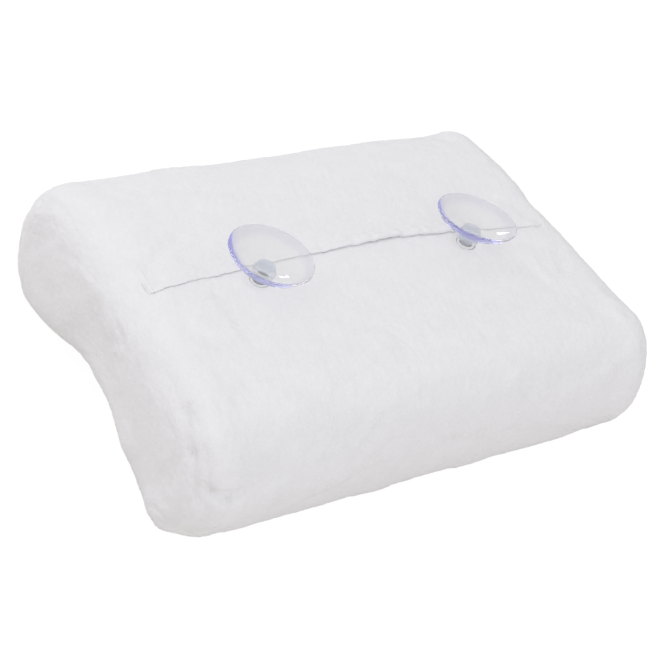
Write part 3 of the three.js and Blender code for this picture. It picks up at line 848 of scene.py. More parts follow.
def cover_panel(name, start, stop, rise=0.0, used=None, shape=None):
    points = ring_slice(body, start, stop)
    normals = ring_slice(body_normals, start, stop)
    detail = ring_slice(body_detail, start, stop)
    outer = points + (detail + rise)[..., None] * normals
    inner = points + np.broadcast_to(rise - COVER_THICKNESS, detail.shape)[..., None] * normals
    outer[..., 2] = np.maximum(outer[..., 2], 0)
    inner[..., 2] = np.maximum(inner[..., 2], COVER_THICKNESS)
    if shape:
        outer, inner, used = shape(outer, inner, used)
    return slab(name, outer, drawn_in(inner, SEAM_SHARE), used)


print("Cover cloth is", round(COVER_THICKNESS / MM, 1), "mm thick under its pile")

# %% The panels of the cover
EYELET_HOLE = 5.8 * MM
EYELET_DIMPLE, DIMPLE_REACH = 1.3 * MM, 4.5 * MM
UNDERLAP_INSET = 2 * MM
eyelet_places = [np.array(joints[side + "_cup_tilt"]["pos_m"]) for side in ("left", "right")]


def corners_of(squares):
    """Marks the points of a grid that belong to at least one of the squares."""
    rows, columns = squares.shape
    points = np.zeros((rows + 1, columns + 1), bool)
    for down, along in ((0, 0), (0, 1), (1, 0), (1, 1)):
        points[down:down + rows, along:along + columns] |= squares
    return points


def cut_eyelet_holes(outer, inner, used):
    """Sinks the cloth round each eyelet, leaves out the squares over it and rounds the edge of the hole."""
    for place in eyelet_places:
        flat = outer[..., :2] - place[:2]
        distance = np.linalg.norm(flat, axis=-1)
        sink = EYELET_DIMPLE * (1 - smooth_step(distance, EYELET_HOLE, EYELET_HOLE + DIMPLE_REACH))
        centres = (flat[:-1, :-1] + flat[1:, :-1] + flat[1:, 1:] + flat[:-1, 1:]) / 4
        over = np.linalg.norm(centres, axis=-1) < EYELET_HOLE
        rim = corners_of(over) & corners_of(used & ~over)
        shift = flat * (EYELET_HOLE / np.maximum(distance, 1e-9) - 1)[..., None]
        for points in (outer, inner):
            points[..., 2] -= sink
            points[rim, :2] += shift[rim]
        used = used & ~over
    return outer, inner, used


ring = body.shape[1]
tuck_column = int(np.searchsorted(from_slit, TUCK_END))
columns = np.arange(FRONT_SEAM * FINE, tuck_column)
in_underlap = np.abs(fine_v[:-1, None]) < STRAIGHT - UNDERLAP_INSET
lower_used = (columns[None, :] < SLIT_COLUMN) | in_underlap
columns = np.arange(SLIT_COLUMN, ring)
beside_slit = np.abs(fine_v[:-1, None] + fine_v[1:, None]) / 2 > STRAIGHT
upper_used = (columns[None, :] >= ROOT_COLUMN) | beside_slit

panels = {
    "contour_panel": cover_panel("contour_panel_cloth", 0, FRONT_SEAM * FINE),
    "lower_back_panel": cover_panel(
        "lower_back_panel_cloth", FRONT_SEAM * FINE, tuck_column,
        ring_slice(lower_rise, FRONT_SEAM * FINE, tuck_column), lower_used, cut_eyelet_holes,
    ),
    "upper_back_panel": cover_panel("upper_back_panel_cloth", SLIT_COLUMN, ring, 0.0, upper_used),
}
for side, name in ((-1, "left_end_panel"), (1, "right_end_panel")):
    outer = ends[side] + end_detail[side][..., None] * end_normals[side]
    inner = ends[side] - COVER_THICKNESS * end_normals[side]
    outer[..., 2] = np.maximum(outer[..., 2], 0)
    if side > 0:
        outer, inner = outer[:, ::-1], inner[:, ::-1]
    panels[name] = slab(name + "_cloth", outer, drawn_in(inner, SEAM_SHARE))
for name, piece in panels.items():
    print(name, "has", len(piece.data.polygons), "faces")


# %% [markdown]
# The flap is a second layer over the underlap. Its lip is a narrow hem, so the two faces of the
# cloth run round a small nose there instead of ending in a square edge. At its root it shares its
# points with the upper panel, because on the real cover both are one piece of cloth.

# %% The flap with its hemmed lip
NOSE_STEPS, NOSE_TURN = 5, 80
FLAP_EDGE_GAP = 0.05
FLAP_PAST_SLIT = 0.5 * MM

flap_rows = np.abs(fine_v) < STRAIGHT + FLAP_PAST_SLIT


def flap_nose(points, normals, across_way, top, under):
    """Columns of points that carry the upper and the lower face round the lip's nose."""
    radius = (top - under) / 2
    turns = np.radians(np.linspace(NOSE_TURN, NOSE_TURN / NOSE_STEPS, NOSE_STEPS))
    forward = radius * np.sin(turns)
    sink = radius * (1 - np.cos(turns))
    edge = points - forward[..., None] * across_way
    return edge + (top - sink)[..., None] * normals, edge + (under + sink)[..., None] * normals


def make_flap():
    part = (flap_rows, slice(SLIT_COLUMN, ROOT_COLUMN + 1))
    points, normals, detail = body[part], body_normals[part], body_detail[part]
    top, under = flap_top[part], flap_under[part]
    outer = points + (top + detail)[..., None] * normals
    inner = points + under[..., None] * normals
    lip = (flap_rows, slice(SLIT_COLUMN, SLIT_COLUMN + 1))
    nose_top = flap_top[lip] + body_detail[lip]
    nose = flap_nose(body[lip], body_normals[lip], body_across[lip], nose_top, flap_under[lip])
    outer = np.concatenate([nose[0], outer], 1)
    inner = np.concatenate([nose[1], inner], 1)
    return slab("closure_flap_cloth", *[drawn_in(face, FLAP_EDGE_GAP, True) for face in (outer, inner)])


flap = make_flap()
print("Flap has", len(flap.data.polygons), "faces")

# %% [markdown]
# The closure is a pair of tapes: a fuzzy loop tape sewn under the flap and a bristly hook tape sewn
# on the underlap. Both are strips on the same surface, one below the other. The loops are uneven by
# lot, and the hooks stand in rows, every second point of the strip raised.

# %% The closure tapes
TAPE_FROM_LIP = 6 * MM
TAPE_WIDTH = 9 * MM
TAPE_HALF_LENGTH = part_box("hook_tape")[1].x
TAPE_BELOW_FLAP = 0.1 * MM
LOOP_FUZZ, LOOP_SEED = 0.22 * MM, 7
HOOK_HEIGHT = 0.2 * MM

tape_rows = np.abs(fine_v) <= TAPE_HALF_LENGTH
tape_first = int(np.searchsorted(from_slit, TAPE_FROM_LIP))
tape_last = int(np.searchsorted(from_slit, TAPE_FROM_LIP + TAPE_WIDTH))
tape_part = (tape_rows, slice(tape_first, tape_last + 1))
tape_points, tape_normals = body[tape_part], body_normals[tape_part]
tape_top = flap_under[tape_part]


def tape(name, top, bottom):
    faces = [tape_points + height[..., None] * tape_normals for height in (top, bottom)]
    return slab(name, *faces)


def make_tapes():
    random = np.random.default_rng(LOOP_SEED)
    loop_top = tape_top - TAPE_BELOW_FLAP
    loop_bottom = loop_top - TAPE_THICKNESS + LOOP_FUZZ * random.uniform(0, 1, loop_top.shape)
    hook_top = loop_top - TAPE_THICKNESS - TAPE_GAP
    i, j = np.indices(hook_top.shape)
    hooks = HOOK_HEIGHT * ((i + j) % 2)
    hook_bottom = hook_top - TAPE_THICKNESS
    loops = tape("loop_tape_strip", loop_top, loop_bottom)
    return loops, tape("hook_tape_strip", hook_top + hooks, hook_bottom)


loop_tape, hook_tape = make_tapes()
print("Tapes have", len(loop_tape.data.polygons), "and", len(hook_tape.data.polygons), "faces")

# %% [markdown]
# The foam block fills the cover, a few millimetres inside it. It is the cage again, moved inward
# and refined by one level of subdivision, with a shallow trough under the closure. Two round
# pockets are cut where the knobs of the suction cups reach in, as a maker would punch them.

# %% The foam core
FOAM_INSET = 3.2 * MM
POCKET_RADIUS = 8.7 * MM
POCKET_CLEARANCE = 2 * MM
POCKET_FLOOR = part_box("left_suction_cup")[0].z - POCKET_CLEARANCE
POCKET_SIDES = 48
TROUGH_MARGIN = 3


def applied(piece, name):
    """A mesh object that holds the piece as its modifiers show it, in place of the piece."""
    shown = piece.evaluated_get(bpy.context.evaluated_depsgraph_get())
    mesh = bpy.data.meshes.new_from_object(shown)
    mesh.name = name
    discard(piece)
    return linked(name, mesh)


def full_turn(steps):
    """Angles of even steps round a full turn."""
    return np.arange(steps) * 2 * math.pi / steps


def pocket_cutter(place):
    angles = full_turn(POCKET_SIDES)
    ring = place[:2] + POCKET_RADIUS * np.stack([np.cos(angles), np.sin(angles)], -1)
    points = [(*xy, z) for z in (POCKET_FLOOR, 2 * HEIGHT) for xy in ring]
    base = list(range(POCKET_SIDES))
    faces = [base[::-1], [POCKET_SIDES + k for k in base]]
    for k in base:
        after = (k + 1) % POCKET_SIDES
        faces.append([k, after, POCKET_SIDES + after, POCKET_SIDES + k])
    return new_object("pocket", points, faces)


def make_foam():
    block = new_object("foam_block", cage, cage_quads)
    normals = np.array([tuple(vertex.normal) for vertex in block.data.vertices])
    trough = lower_rise[::FINE, ::FINE]
    trough = np.minimum(trough, np.minimum(np.roll(trough, 1, 1), np.roll(trough, -1, 1)))
    trough[:, :SLIT - TROUGH_MARGIN] = 0
    trough[:, ROOT + TROUGH_MARGIN:] = 0
    sink = np.full(cage_count, -FOAM_INSET)
    sink[tube_index] += trough
    inside = cage + sink[:, None] * normals
    block.data.vertices.foreach_set("co", inside.ravel())
    refine = block.modifiers.new("refine", "SUBSURF")
    refine.levels = refine.render_levels = 1
    cutters = [pocket_cutter(place) for place in eyelet_places]
    for cutter in cutters:
        cut = block.modifiers.new("pocket", "BOOLEAN")
        cut.object = cutter
        cut.operation = "DIFFERENCE"
    foam = applied(block, "foam_core_block")
    for cutter in cutters:
        discard(cutter)
    return finish_mesh(foam)


foam = make_foam()
print("Foam core has", len(foam.data.polygons), "faces")

# %% [markdown]
# Two short bar tacks lock the ends of the slit, and an overcast eyelet edges each hole where a
# suction cup comes through. Both are thread laid side by side, so each one is a tube along a line,
# with a ridge for every turn of the thread. Behind each eyelet a felt washer stiffens the cloth.

# %% Thread wrapped along a line
RIDGE_DEPTH = 0.14
TUBE_SIDES = 14
TUBE_END_CURVE, TUBE_END_LEAST = 12, 0.02


def turned_outward(name, points, faces):
    """A smooth closed mesh object whose faces all look outward: its signed volume is above zero."""
    made = new_object(name, points, faces)
    volume = 0.0
    for face in made.data.polygons:
        corner = points[list(face.vertices)]
        for k in range(1, len(corner) - 1):
            volume += corner[0] @ np.cross(corner[k], corner[k + 1])
    if volume < 0:
        made.data.flip_normals()
    return finish_mesh(made)


def wrapped_thread(name, centres, side_way, up_way, half_width, half_height, turns, closed):
    """A tube along a line, oval in section, with a ridge for each turn of thread."""
    count = len(centres)
    share = np.arange(count) / (count if closed else count - 1)
    ridge = 1 - RIDGE_DEPTH * (0.5 + 0.5 * np.cos(2 * math.pi * turns * share))
    if not closed:
        from_middle = np.abs(2 * share - 1)
        ridge = ridge * np.sqrt(np.clip(1 - from_middle**TUBE_END_CURVE, TUBE_END_LEAST, 1))
    angles = full_turn(TUBE_SIDES)
    wide = half_width * ridge[:, None] * np.cos(angles)
    tall = half_height * ridge[:, None] * np.sin(angles)
    points = centres[:, None] + wide[..., None] * side_way[:, None]
    points = points + tall[..., None] * up_way[:, None]
    index = np.arange(count * TUBE_SIDES).reshape(count, TUBE_SIDES)
    around = np.concatenate([index, index[:, :1]], 1)
    if closed:
        around = np.concatenate([around, around[:1]], 0)
    faces = grid_quads(around).tolist()
    if not closed:
        faces.append(index[0].tolist())
        faces.append(index[-1, ::-1].tolist())
    return turned_outward(name, points.reshape(-1, 3), faces)


print("Thread is a tube of", TUBE_SIDES, "sides")

# %% Bar tacks, eyelets and felt washers
TACK_PAST_SLIT = 3 * MM
TACK_BELOW_SLIT = 1.5 * MM
TACK_LENGTH = 8 * MM
TACK_HALF_WIDTH = 0.8 * MM
TACK_HALF_HEIGHT = 0.6 * MM
TACK_SINK = -0.1 * MM
STEPS_PER_TURN = 8
TACK_TURNS, EYELET_TURNS = 18, 40
TACK_STEPS, EYELET_STEPS = TACK_TURNS * STEPS_PER_TURN, EYELET_TURNS * STEPS_PER_TURN
EYELET_BORE = 3.75 * MM
WASHER_HOLE, WASHER_SOFT, WASHER_STEPS = 5.75 * MM, 0.25 * MM, 72
TINY_RADIUS = 1e-9


def make_tack(side, name):
    row = int(np.argmin(np.abs(fine_v - side * (STRAIGHT + TACK_PAST_SLIT))))
    along = np.linspace(-TACK_BELOW_SLIT, TACK_LENGTH - TACK_BELOW_SLIT, TACK_STEPS)

    def sample(values):
        return np.stack([np.interp(along, from_slit, values[row, :, axis]) for axis in range(3)], -1)

    up = unit(sample(body_normals))
    ahead = unit(np.gradient(sample(body), axis=0))
    centres = sample(body) + TACK_SINK * up
    side_way = unit(np.cross(ahead, up))
    return wrapped_thread(
        name, centres, side_way, up, TACK_HALF_WIDTH, TACK_HALF_HEIGHT, TACK_TURNS, False,
    )


def make_eyelet(side):
    low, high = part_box(side + "_eyelet")
    middle = np.array((low + high) / 2)
    outer = (high.x - low.x) / 2
    angles = full_turn(EYELET_STEPS)
    out = np.stack([np.cos(angles), np.sin(angles), 0 * angles], -1)
    up = np.tile([0.0, 0.0, 1.0], (EYELET_STEPS, 1))
    centres = middle + (EYELET_BORE + outer) / 2 * out
    half_width, half_height = (outer - EYELET_BORE) / 2, (high.z - low.z) / 2
    name = side + "_eyelet_thread"
    return wrapped_thread(name, centres, out, up, half_width, half_height, EYELET_TURNS, True)


def lathe(name, profile, steps, place, axis):
    """A solid turned about an axis through a place, from a closed profile of (radius, height) pairs."""
    profile = np.array(profile)
    angles = full_turn(steps)
    axis = unit(np.array(axis))
    side_way = unit(np.cross([0.0, 1.0, 0.0], axis))
    third = np.cross(axis, side_way)
    out = np.cos(angles)[:, None] * side_way + np.sin(angles)[:, None] * third
    radii, heights = profile[None, :, :1], profile[None, :, 1:]
    points = np.array(place) + radii * out[:, None] + heights * axis
    index = np.arange(steps * len(profile)).reshape(steps, len(profile))
    index = np.where(profile[None, :, 0] < TINY_RADIUS, index[:1], index)
    around = np.concatenate([index, index[:1]], 0)
    around = np.concatenate([around, around[:, :1]], 1)
    faces = []
    for quad in grid_quads(around).tolist():
        corners = list(dict.fromkeys(quad))
        if len(corners) > 2:
            faces.append(corners)
    kept, numbers = np.unique(np.concatenate(faces), return_inverse=True)
    stops = np.cumsum([len(face) for face in faces])[:-1]
    faces = [part.tolist() for part in np.split(numbers, stops)]
    return turned_outward(name, points.reshape(-1, 3)[kept], faces)


def make_washer(side):
    low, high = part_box(side + "_eyelet_backing")
    hole, soft = WASHER_HOLE, WASHER_SOFT
    outer, tall = (high.x - low.x) / 2, high.z - low.z
    profile = [
        (hole, soft), (hole + soft, 0), (outer - soft, 0), (outer, soft),
        (outer, tall - soft), (outer - soft, tall), (hole + soft, tall), (hole, tall - soft),
    ]
    middle = (low + high) / 2
    place = (middle.x, middle.y, low.z)
    return lathe(side + "_eyelet_washer", profile, WASHER_STEPS, place, (0, 0, 1))


SIGNS = {"left": -1, "right": 1}
tacks = {side: make_tack(sign, side + "_bar_tack_thread") for side, sign in SIGNS.items()}
eyelets = {side: make_eyelet(side) for side in SIGNS}
washers = {side: make_washer(side) for side in SIGNS}
print("Made", len(tacks), "bar tacks,", len(eyelets), "eyelets and", len(washers), "washers")

# %% [markdown]
# A suction cup is moulded in one piece from clear soft vinyl: a shallow dish with a thin rim, a
# hub, a neck that the eyelet grips and a round knob that keeps it from pulling out. It is a lathe
# turned shape, so its profile is enough. The profile runs up the middle of the dish, over the
# rounded rim, down outside to the hub, the neck and the knob, and it is spun round the axis that
# the cup turns about.

# %% The suction cups
CUP_RADIUS = 23.8 * MM
CUP_STAND_OFF = 18.5 * MM
DISH_DEPTH = 9 * MM
DISH_WALL = 2.9 * MM
RIM_WALL = 1.5 * MM
RIM_SOFT = 0.5 * MM
RIM_DROP, RIM_BELOW_MOUTH = 1.9 * MM, 0.35 * MM
RIM_BAND = 2.5 * MM
HUB_RADIUS, HUB_MARGIN = 6.3 * MM, 0.1 * MM
HUB_FILLET, FILLET_DROP, HUB_DROP = 2 * MM, 0.8 * MM, 1.2 * MM
HUB_FLARE, FLARE_CURVE = 2 * MM, 1.5
MILKY_RADIUS = 5 * MM
NECK_RADIUS = 3.4 * MM
KNOB_RADIUS = 5.5 * MM
KNOB_DROP = 7.5 * MM
NECK_TOP = 2.15 * MM
MOUTH_RISE = 1.25 * MM
DISH_POINTS, ROUND_POINTS, WALL_POINTS = 26, 7, 18
HUB_POINTS, FLARE_POINTS, KNOB_POINTS = 4, 8, 18
CUP_STEPS = 120
MOUTH = CUP_STAND_OFF + MOUTH_RISE
DISH_FLOOR = MOUTH - DISH_DEPTH
BOWL_RADIUS = (CUP_RADIUS**2 + DISH_DEPTH**2) / (2 * DISH_DEPTH)


def bowl(radius):
    return BOWL_RADIUS - np.sqrt(BOWL_RADIUS**2 - radius**2)


def cup_profile():
    """Pairs of radius and height from the middle of the dish, over the rim and down to the knob."""
    turns = np.linspace(0, math.pi / 2, ROUND_POINTS)[1:]
    dish = np.linspace(0, CUP_RADIUS - RIM_WALL, DISH_POINTS)
    inner = [(r, DISH_FLOOR + bowl(r)) for r in dish]
    soft, edge = RIM_SOFT, CUP_RADIUS - RIM_SOFT
    rim_low = DISH_FLOOR + bowl(CUP_RADIUS) - RIM_DROP
    rim_top = MOUTH - RIM_BELOW_MOUTH
    upper = [(edge + soft * math.sin(t), rim_top - soft + soft * math.cos(t)) for t in turns]
    lower = [(edge + soft * math.cos(t), rim_low + soft - soft * math.sin(t)) for t in turns]
    wall = np.linspace(CUP_RADIUS - RIM_BAND, HUB_RADIUS + HUB_FILLET, WALL_POINTS)
    outer = [(r, DISH_FLOOR + bowl(r) - DISH_WALL) for r in wall]
    return inner + upper + lower + outer + hub_profile(turns)


def hub_profile(turns):
    """The rest of the profile: the hub with a fillet above and a flare below, the neck and the knob."""
    top = DISH_FLOOR + bowl(HUB_RADIUS) - DISH_WALL
    fillet = [
        (HUB_RADIUS + HUB_FILLET * (1 - math.sin(t)), top - FILLET_DROP * (1 - math.cos(t)))
        for t in turns
    ]
    heights = np.linspace(top - HUB_DROP, NECK_TOP + HUB_FLARE, HUB_POINTS)
    hub = [(HUB_RADIUS, z) for z in heights]
    flare = [
        (HUB_RADIUS - (HUB_RADIUS - NECK_RADIUS) * t**FLARE_CURVE, NECK_TOP + HUB_FLARE * (1 - t))
        for t in np.linspace(0, 1, FLARE_POINTS)[1:]
    ]
    ball = np.linspace(math.asin(NECK_RADIUS / KNOB_RADIUS), math.pi, KNOB_POINTS)
    knob = [(KNOB_RADIUS * math.sin(t), KNOB_RADIUS * math.cos(t) - KNOB_DROP) for t in ball]
    knob[-1] = (0.0, -KNOB_DROP - KNOB_RADIUS)
    return fillet + hub + flare + knob


def make_cup(side):
    spin = joints[side + "_cup_spin"]
    return lathe(side + "_clear_cup", cup_profile(), CUP_STEPS, spin["pos_m"], spin["axis"])


def hub_part(side):
    """1 for each face of a cup's hub, from the middle of the dish to the knob, and 0 elsewhere."""
    spin = joints[side + "_cup_spin"]
    axis = unit(np.array(spin["axis"]))
    centres = np.array([tuple(face.center) for face in cups[side].data.polygons]) - spin["pos_m"]
    from_axis = np.linalg.norm(np.cross(centres, axis), axis=1)
    in_dish = centres @ axis > DISH_FLOOR - DISH_WALL / 2
    reach = np.where(in_dish, MILKY_RADIUS, HUB_RADIUS + HUB_MARGIN)
    return np.less(from_axis, reach).astype(np.int32)


cups = {side: make_cup(side) for side in SIGNS}
hub_faces = {side: hub_part(side) for side in cups}
print("Each cup has", len(cups["left"].data.polygons), "faces")

# %% [markdown]
# Towelling, loop tape and felt share one effect: a nap of short fibres. A node group works it out
# from the object's own coordinates, as a height for the bump and as a shade for the colour. Round
# cells stand for the tufts of the pile, finer noise for its fibres, and a wide, faint noise for the
# way that the pile lies. The shade darkens the colour where the pile is low, as painted shade
# between the tufts, and the wide noise adds a random tone.

# %% A nap of short fibres
BEND_SCALE, BEND_REACH = 420.0, 1.2 * MM
FIBRES_PER_TUFT = 2.6
LAY_SCALE, LAY_ROUGHNESS = 70.0, 0.65
TUFT_HEIGHT, FIBRE_HEIGHT = 0.7, 0.6
PAINTED_SHADE_PER_HEIGHT, LEAST_SHADE = 0.5, 0.3
LAY_SHARE, PAINTED_TUFT_SHADE_SHARE = 0.6, 0.5


def object_place(tree):
    return add_node(tree, "ShaderNodeTexCoord").outputs["Object"]


def noise_node(tree, where, scale, detail, roughness=0.5):
    """Outputs of a noise over the surface: a value, and a colour."""
    inputs = {"Vector": where, "Scale": scale, "Detail": detail, "Roughness": roughness}
    return add_node(tree, "ShaderNodeTexNoise", inputs).outputs


def nap_group():
    group = bpy.data.node_groups.new("fibre_nap", "ShaderNodeTree")
    for name, way in (("Tufts per metre", "INPUT"), ("Height", "OUTPUT"), ("Shade", "OUTPUT")):
        group.interface.new_socket(name, in_out=way, socket_type="NodeSocketFloat")
    tufts = add_node(group, "NodeGroupInput").outputs[0]
    where = object_place(group)
    bend = noise_node(group, where, BEND_SCALE, 1.0)["Color"]
    push = add_node(group, "ShaderNodeVectorMath", {0: bend, 3: BEND_REACH}, operation="SCALE")
    bent = vector_node(group, "ADD", where, push.outputs[0])[0]
    cells = add_node(group, "ShaderNodeTexVoronoi", {"Vector": bent, "Scale": tufts}, feature="SMOOTH_F1")
    fibre_scale = math_node(group, "MULTIPLY", tufts, FIBRES_PER_TUFT)
    fibres = noise_node(group, where, fibre_scale, 3.0)[0]
    lay = noise_node(group, where, LAY_SCALE, 4.0, LAY_ROUGHNESS)[0]
    tuft = math_node(group, "SUBTRACT", 1.0, cells.outputs["Distance"])
    tuft = math_node(group, "MULTIPLY", tuft, TUFT_HEIGHT)
    height = math_node(group, "MULTIPLY_ADD", fibres, FIBRE_HEIGHT, tuft)
    # Painted shade: the colour is darker where the pile is low, between the tufts.
    fine = math_node(group, "MULTIPLY_ADD", height, PAINTED_SHADE_PER_HEIGHT, LEAST_SHADE)
    fine = math_node(group, "MULTIPLY", fine, PAINTED_TUFT_SHADE_SHARE)
    shade = math_node(group, "MULTIPLY_ADD", lay, LAY_SHARE, fine)
    add_node(group, "NodeGroupOutput", {"Height": height, "Shade": shade})
    return group


NAP = nap_group()
print("Made the node group", NAP.name)

# %% Napped cloths
CLOTH_ROUGHNESS, CLOTH_SPECULAR = 0.95, 0.12
NO_SHEEN, CLOTH_SHEEN = (0.0, 0.5), (0.12, 0.4)


def bump_node(tree, strength, distance, height):
    inputs = {"Strength": strength, "Distance": distance, "Height": height}
    return add_node(tree, "ShaderNodeBump", inputs).outputs[0]


def matt_surface(tree, colour, roughness, specular, normal, sheen=NO_SHEEN):
    """Ends a material's tree in a matt shader. Its sheen is a weight and a roughness."""
    shader = add_node(tree, "ShaderNodeBsdfPrincipled", {
        "Base Color": colour, "Roughness": roughness, "Specular IOR Level": specular,
        "Normal": normal, "Sheen Weight": sheen[0], "Sheen Roughness": sheen[1],
    })
    add_node(tree, "ShaderNodeOutputMaterial", {"Surface": shader.outputs[0]})


def nap_material(name, pale, dark, tufts, bump, distance):
    material, tree = new_material(name)
    nap = add_node(tree, "ShaderNodeGroup", {"Tufts per metre": tufts}, node_tree=NAP)
    colour = mix_colour(tree, nap.outputs["Shade"], dark, pale)
    raised = bump_node(tree, bump, distance, nap.outputs["Height"])
    matt_surface(tree, colour, CLOTH_ROUGHNESS, CLOTH_SPECULAR, raised, CLOTH_SHEEN)
    return material


towelling = nap_material(
    "white_towelling", pale=(0.86, 0.855, 0.885), dark=(0.75, 0.745, 0.77),
    tufts=750.0, bump=0.4, distance=0.6 * MM,
)
loop_cloth = nap_material(
    "loop_tape_cloth", pale=(0.84, 0.84, 0.85), dark=(0.6, 0.6, 0.62),
    tufts=1100.0, bump=0.7, distance=0.5 * MM,
)
felt = nap_material(
    "felt", pale=(0.8, 0.79, 0.76), dark=(0.62, 0.61, 0.58),
    tufts=1400.0, bump=0.6, distance=0.4 * MM,
)
print("Made the napped cloths:", towelling.name, loop_cloth.name, felt.name)

# %% [markdown]
# Each of the other materials has its own short function. Memory foam is a pale cream full of small
# open pores, and each pore is painted darker inside as painted shade. Thread shows the twist of its
# plies as fine slanting lines. The hook tape is a woven polyester ribbon with a slight shine, painted
# darker between its yarns as painted shade.

# %% Foam, thread and hook tape
PORE_SCALE, BLOTCH_SCALE = 900.0, 25.0
PORE_SHADE_SHARE, BLOTCH_SHARE = 0.8, 0.3
FOAM_PORE_SHADE, FOAM_SKIN = (0.62, 0.53, 0.36), (0.86, 0.78, 0.6)
PLY_SCALE, PLY_BEND, FUZZ_SCALE = 900.0, 1.5, 800.0
THREAD_DARK, THREAD_PALE = (0.76, 0.76, 0.78), (0.87, 0.87, 0.88)
WEAVE_SCALE = 320.0
RIBBON_GAP_SHADE, RIBBON_PALE = (0.58, 0.58, 0.6), (0.82, 0.82, 0.84)


def wave_node(tree, where, scale, way, distortion=0.0):
    inputs = {"Vector": where, "Scale": scale, "Distortion": distortion}
    return add_node(tree, "ShaderNodeTexWave", inputs, bands_direction=way).outputs[1]


def foam_material():
    material, tree = new_material("cream_foam")
    where = object_place(tree)
    cells = add_node(tree, "ShaderNodeTexVoronoi", {"Vector": where, "Scale": PORE_SCALE})
    pores = cells.outputs["Distance"]
    blotch = math_node(tree, "MULTIPLY", noise_node(tree, where, BLOTCH_SCALE, 3.0)[0], BLOTCH_SHARE)
    # Painted shade: each pore is darker inside, where shade falls.
    painted_pore_shade = math_node(tree, "MULTIPLY_ADD", pores, PORE_SHADE_SHARE, blotch)
    colour = mix_colour(tree, painted_pore_shade, FOAM_PORE_SHADE, FOAM_SKIN)
    matt_surface(tree, colour, 0.9, 0.15, bump_node(tree, 0.5, 0.6 * MM, pores))
    return material


def thread_material():
    material, tree = new_material("white_thread")
    where = object_place(tree)
    plies = wave_node(tree, where, PLY_SCALE, "DIAGONAL", PLY_BEND)
    fuzz = noise_node(tree, where, FUZZ_SCALE, 2.0)[0]
    colour = mix_colour(tree, fuzz, THREAD_DARK, THREAD_PALE)
    roughness = math_node(tree, "MULTIPLY_ADD", fuzz, 0.2, 0.5)
    matt_surface(tree, colour, roughness, 0.3, bump_node(tree, 0.4, 0.2 * MM, plies))
    return material


def hook_material():
    material, tree = new_material("hook_tape_ribbon")
    where = object_place(tree)
    warp, weft = [wave_node(tree, where, WEAVE_SCALE, way) for way in ("X", "Y")]
    weave = math_node(tree, "MULTIPLY", warp, weft)
    # Painted shade: the ribbon is darker between its yarns.
    colour = mix_colour(tree, weave, RIBBON_GAP_SHADE, RIBBON_PALE)
    matt_surface(tree, colour, 0.45, 0.4, bump_node(tree, 0.5, 0.3 * MM, weave))
    return material


cream_foam, white_thread, hook_ribbon = foam_material(), thread_material(), hook_material()
print("Made", cream_foam.name, white_thread.name, hook_ribbon.name)

# %% [markdown]
# Clear vinyl is almost colourless where it is seen straight on and turns blue violet where the view
# runs along its wall. Here that tint is painted into the colour as a crescent on the left of each
# cup, a painted stand-in for the light that the wall tints, fixed to the cup so that it turns with
# it. The crescent is what is left of the round dish outside a circle that is shifted to the right,
# and the angle between the view and the surface adds a thin line beside it, painted on the same
# side. The rim is a little greyer than the dish. The thick hub and knob are milky, so they wear a
# second material. Light on its way to or from a matt surface passes both as if through thin clear
# film, so the shadow of a cup stays soft and pale.

# %% Clear vinyl
VINYL_CLEAR, VINYL_SMUDGE = (0.92, 0.92, 0.925), (0.88, 0.88, 0.89)
VINYL_RIM, RIM_EDGE = (0.84, 0.83, 0.87), (0.78, 0.86)
PAINTED_VIOLET_TINT = (0.48, 0.48, 0.92)
VINYL_SHADOW = (0.972, 0.972, 0.975)
PAINTED_TINT_SHIFT = (0.43, 0.12, 0.0)
PAINTED_CRESCENT_EDGE, PAINTED_WALL_EDGE = (1.19, 1.26), (1.04, 1.16)
WALL_POWER = 3.5
MILKY, MILKY_SMUDGE = (0.68, 0.71, 0.77), (0.6, 0.62, 0.68)
VINYL_IOR = 1.08
SMUDGE_SCALE, SMUDGE_ROUGHNESS = 90.0, 0.06
CLEAR_ROUGHNESS, CLEAR_SHARE = 0.01, 0.8
MILKY_ROUGHNESS, MILKY_SHARE = 0.2, 0.35


def smooth_range(tree, value, low, high):
    inputs = {"Value": value, "From Min": low, "From Max": high}
    return add_node(tree, "ShaderNodeMapRange", inputs, interpolation_type="SMOOTHSTEP").outputs[0]


def vinyl_colour_and_painted_tint(tree, smudge):
    box_place = add_node(tree, "ShaderNodeTexCoord").outputs["Generated"]
    flat = vector_node(tree, "MULTIPLY_ADD", box_place, (2, 2, 0), (-1, -1, 0))[0]
    radius = vector_node(tree, "LENGTH", flat)["Value"]
    shifted = vector_node(tree, "DISTANCE", flat, PAINTED_TINT_SHIFT)["Value"]
    facing = add_node(tree, "ShaderNodeLayerWeight", {"Blend": 0.5}).outputs["Facing"]
    painted_wall_line = math_node(tree, "POWER", facing, WALL_POWER)
    painted_wall_line = math_node(tree, "MULTIPLY", painted_wall_line, smooth_range(tree, shifted, *PAINTED_WALL_EDGE))
    # Painted tint: the crescent and the thin line beside it stand in for light seen along the wall, fixed
    # on the left of the cup.
    painted_violet = math_node(tree, "MAXIMUM", painted_wall_line, smooth_range(tree, shifted, *PAINTED_CRESCENT_EDGE))
    colour = mix_colour(tree, smudge, VINYL_SMUDGE, VINYL_CLEAR)
    colour = mix_colour(tree, smooth_range(tree, radius, *RIM_EDGE), colour, VINYL_RIM)
    return mix_colour(tree, painted_violet, colour, PAINTED_VIOLET_TINT)


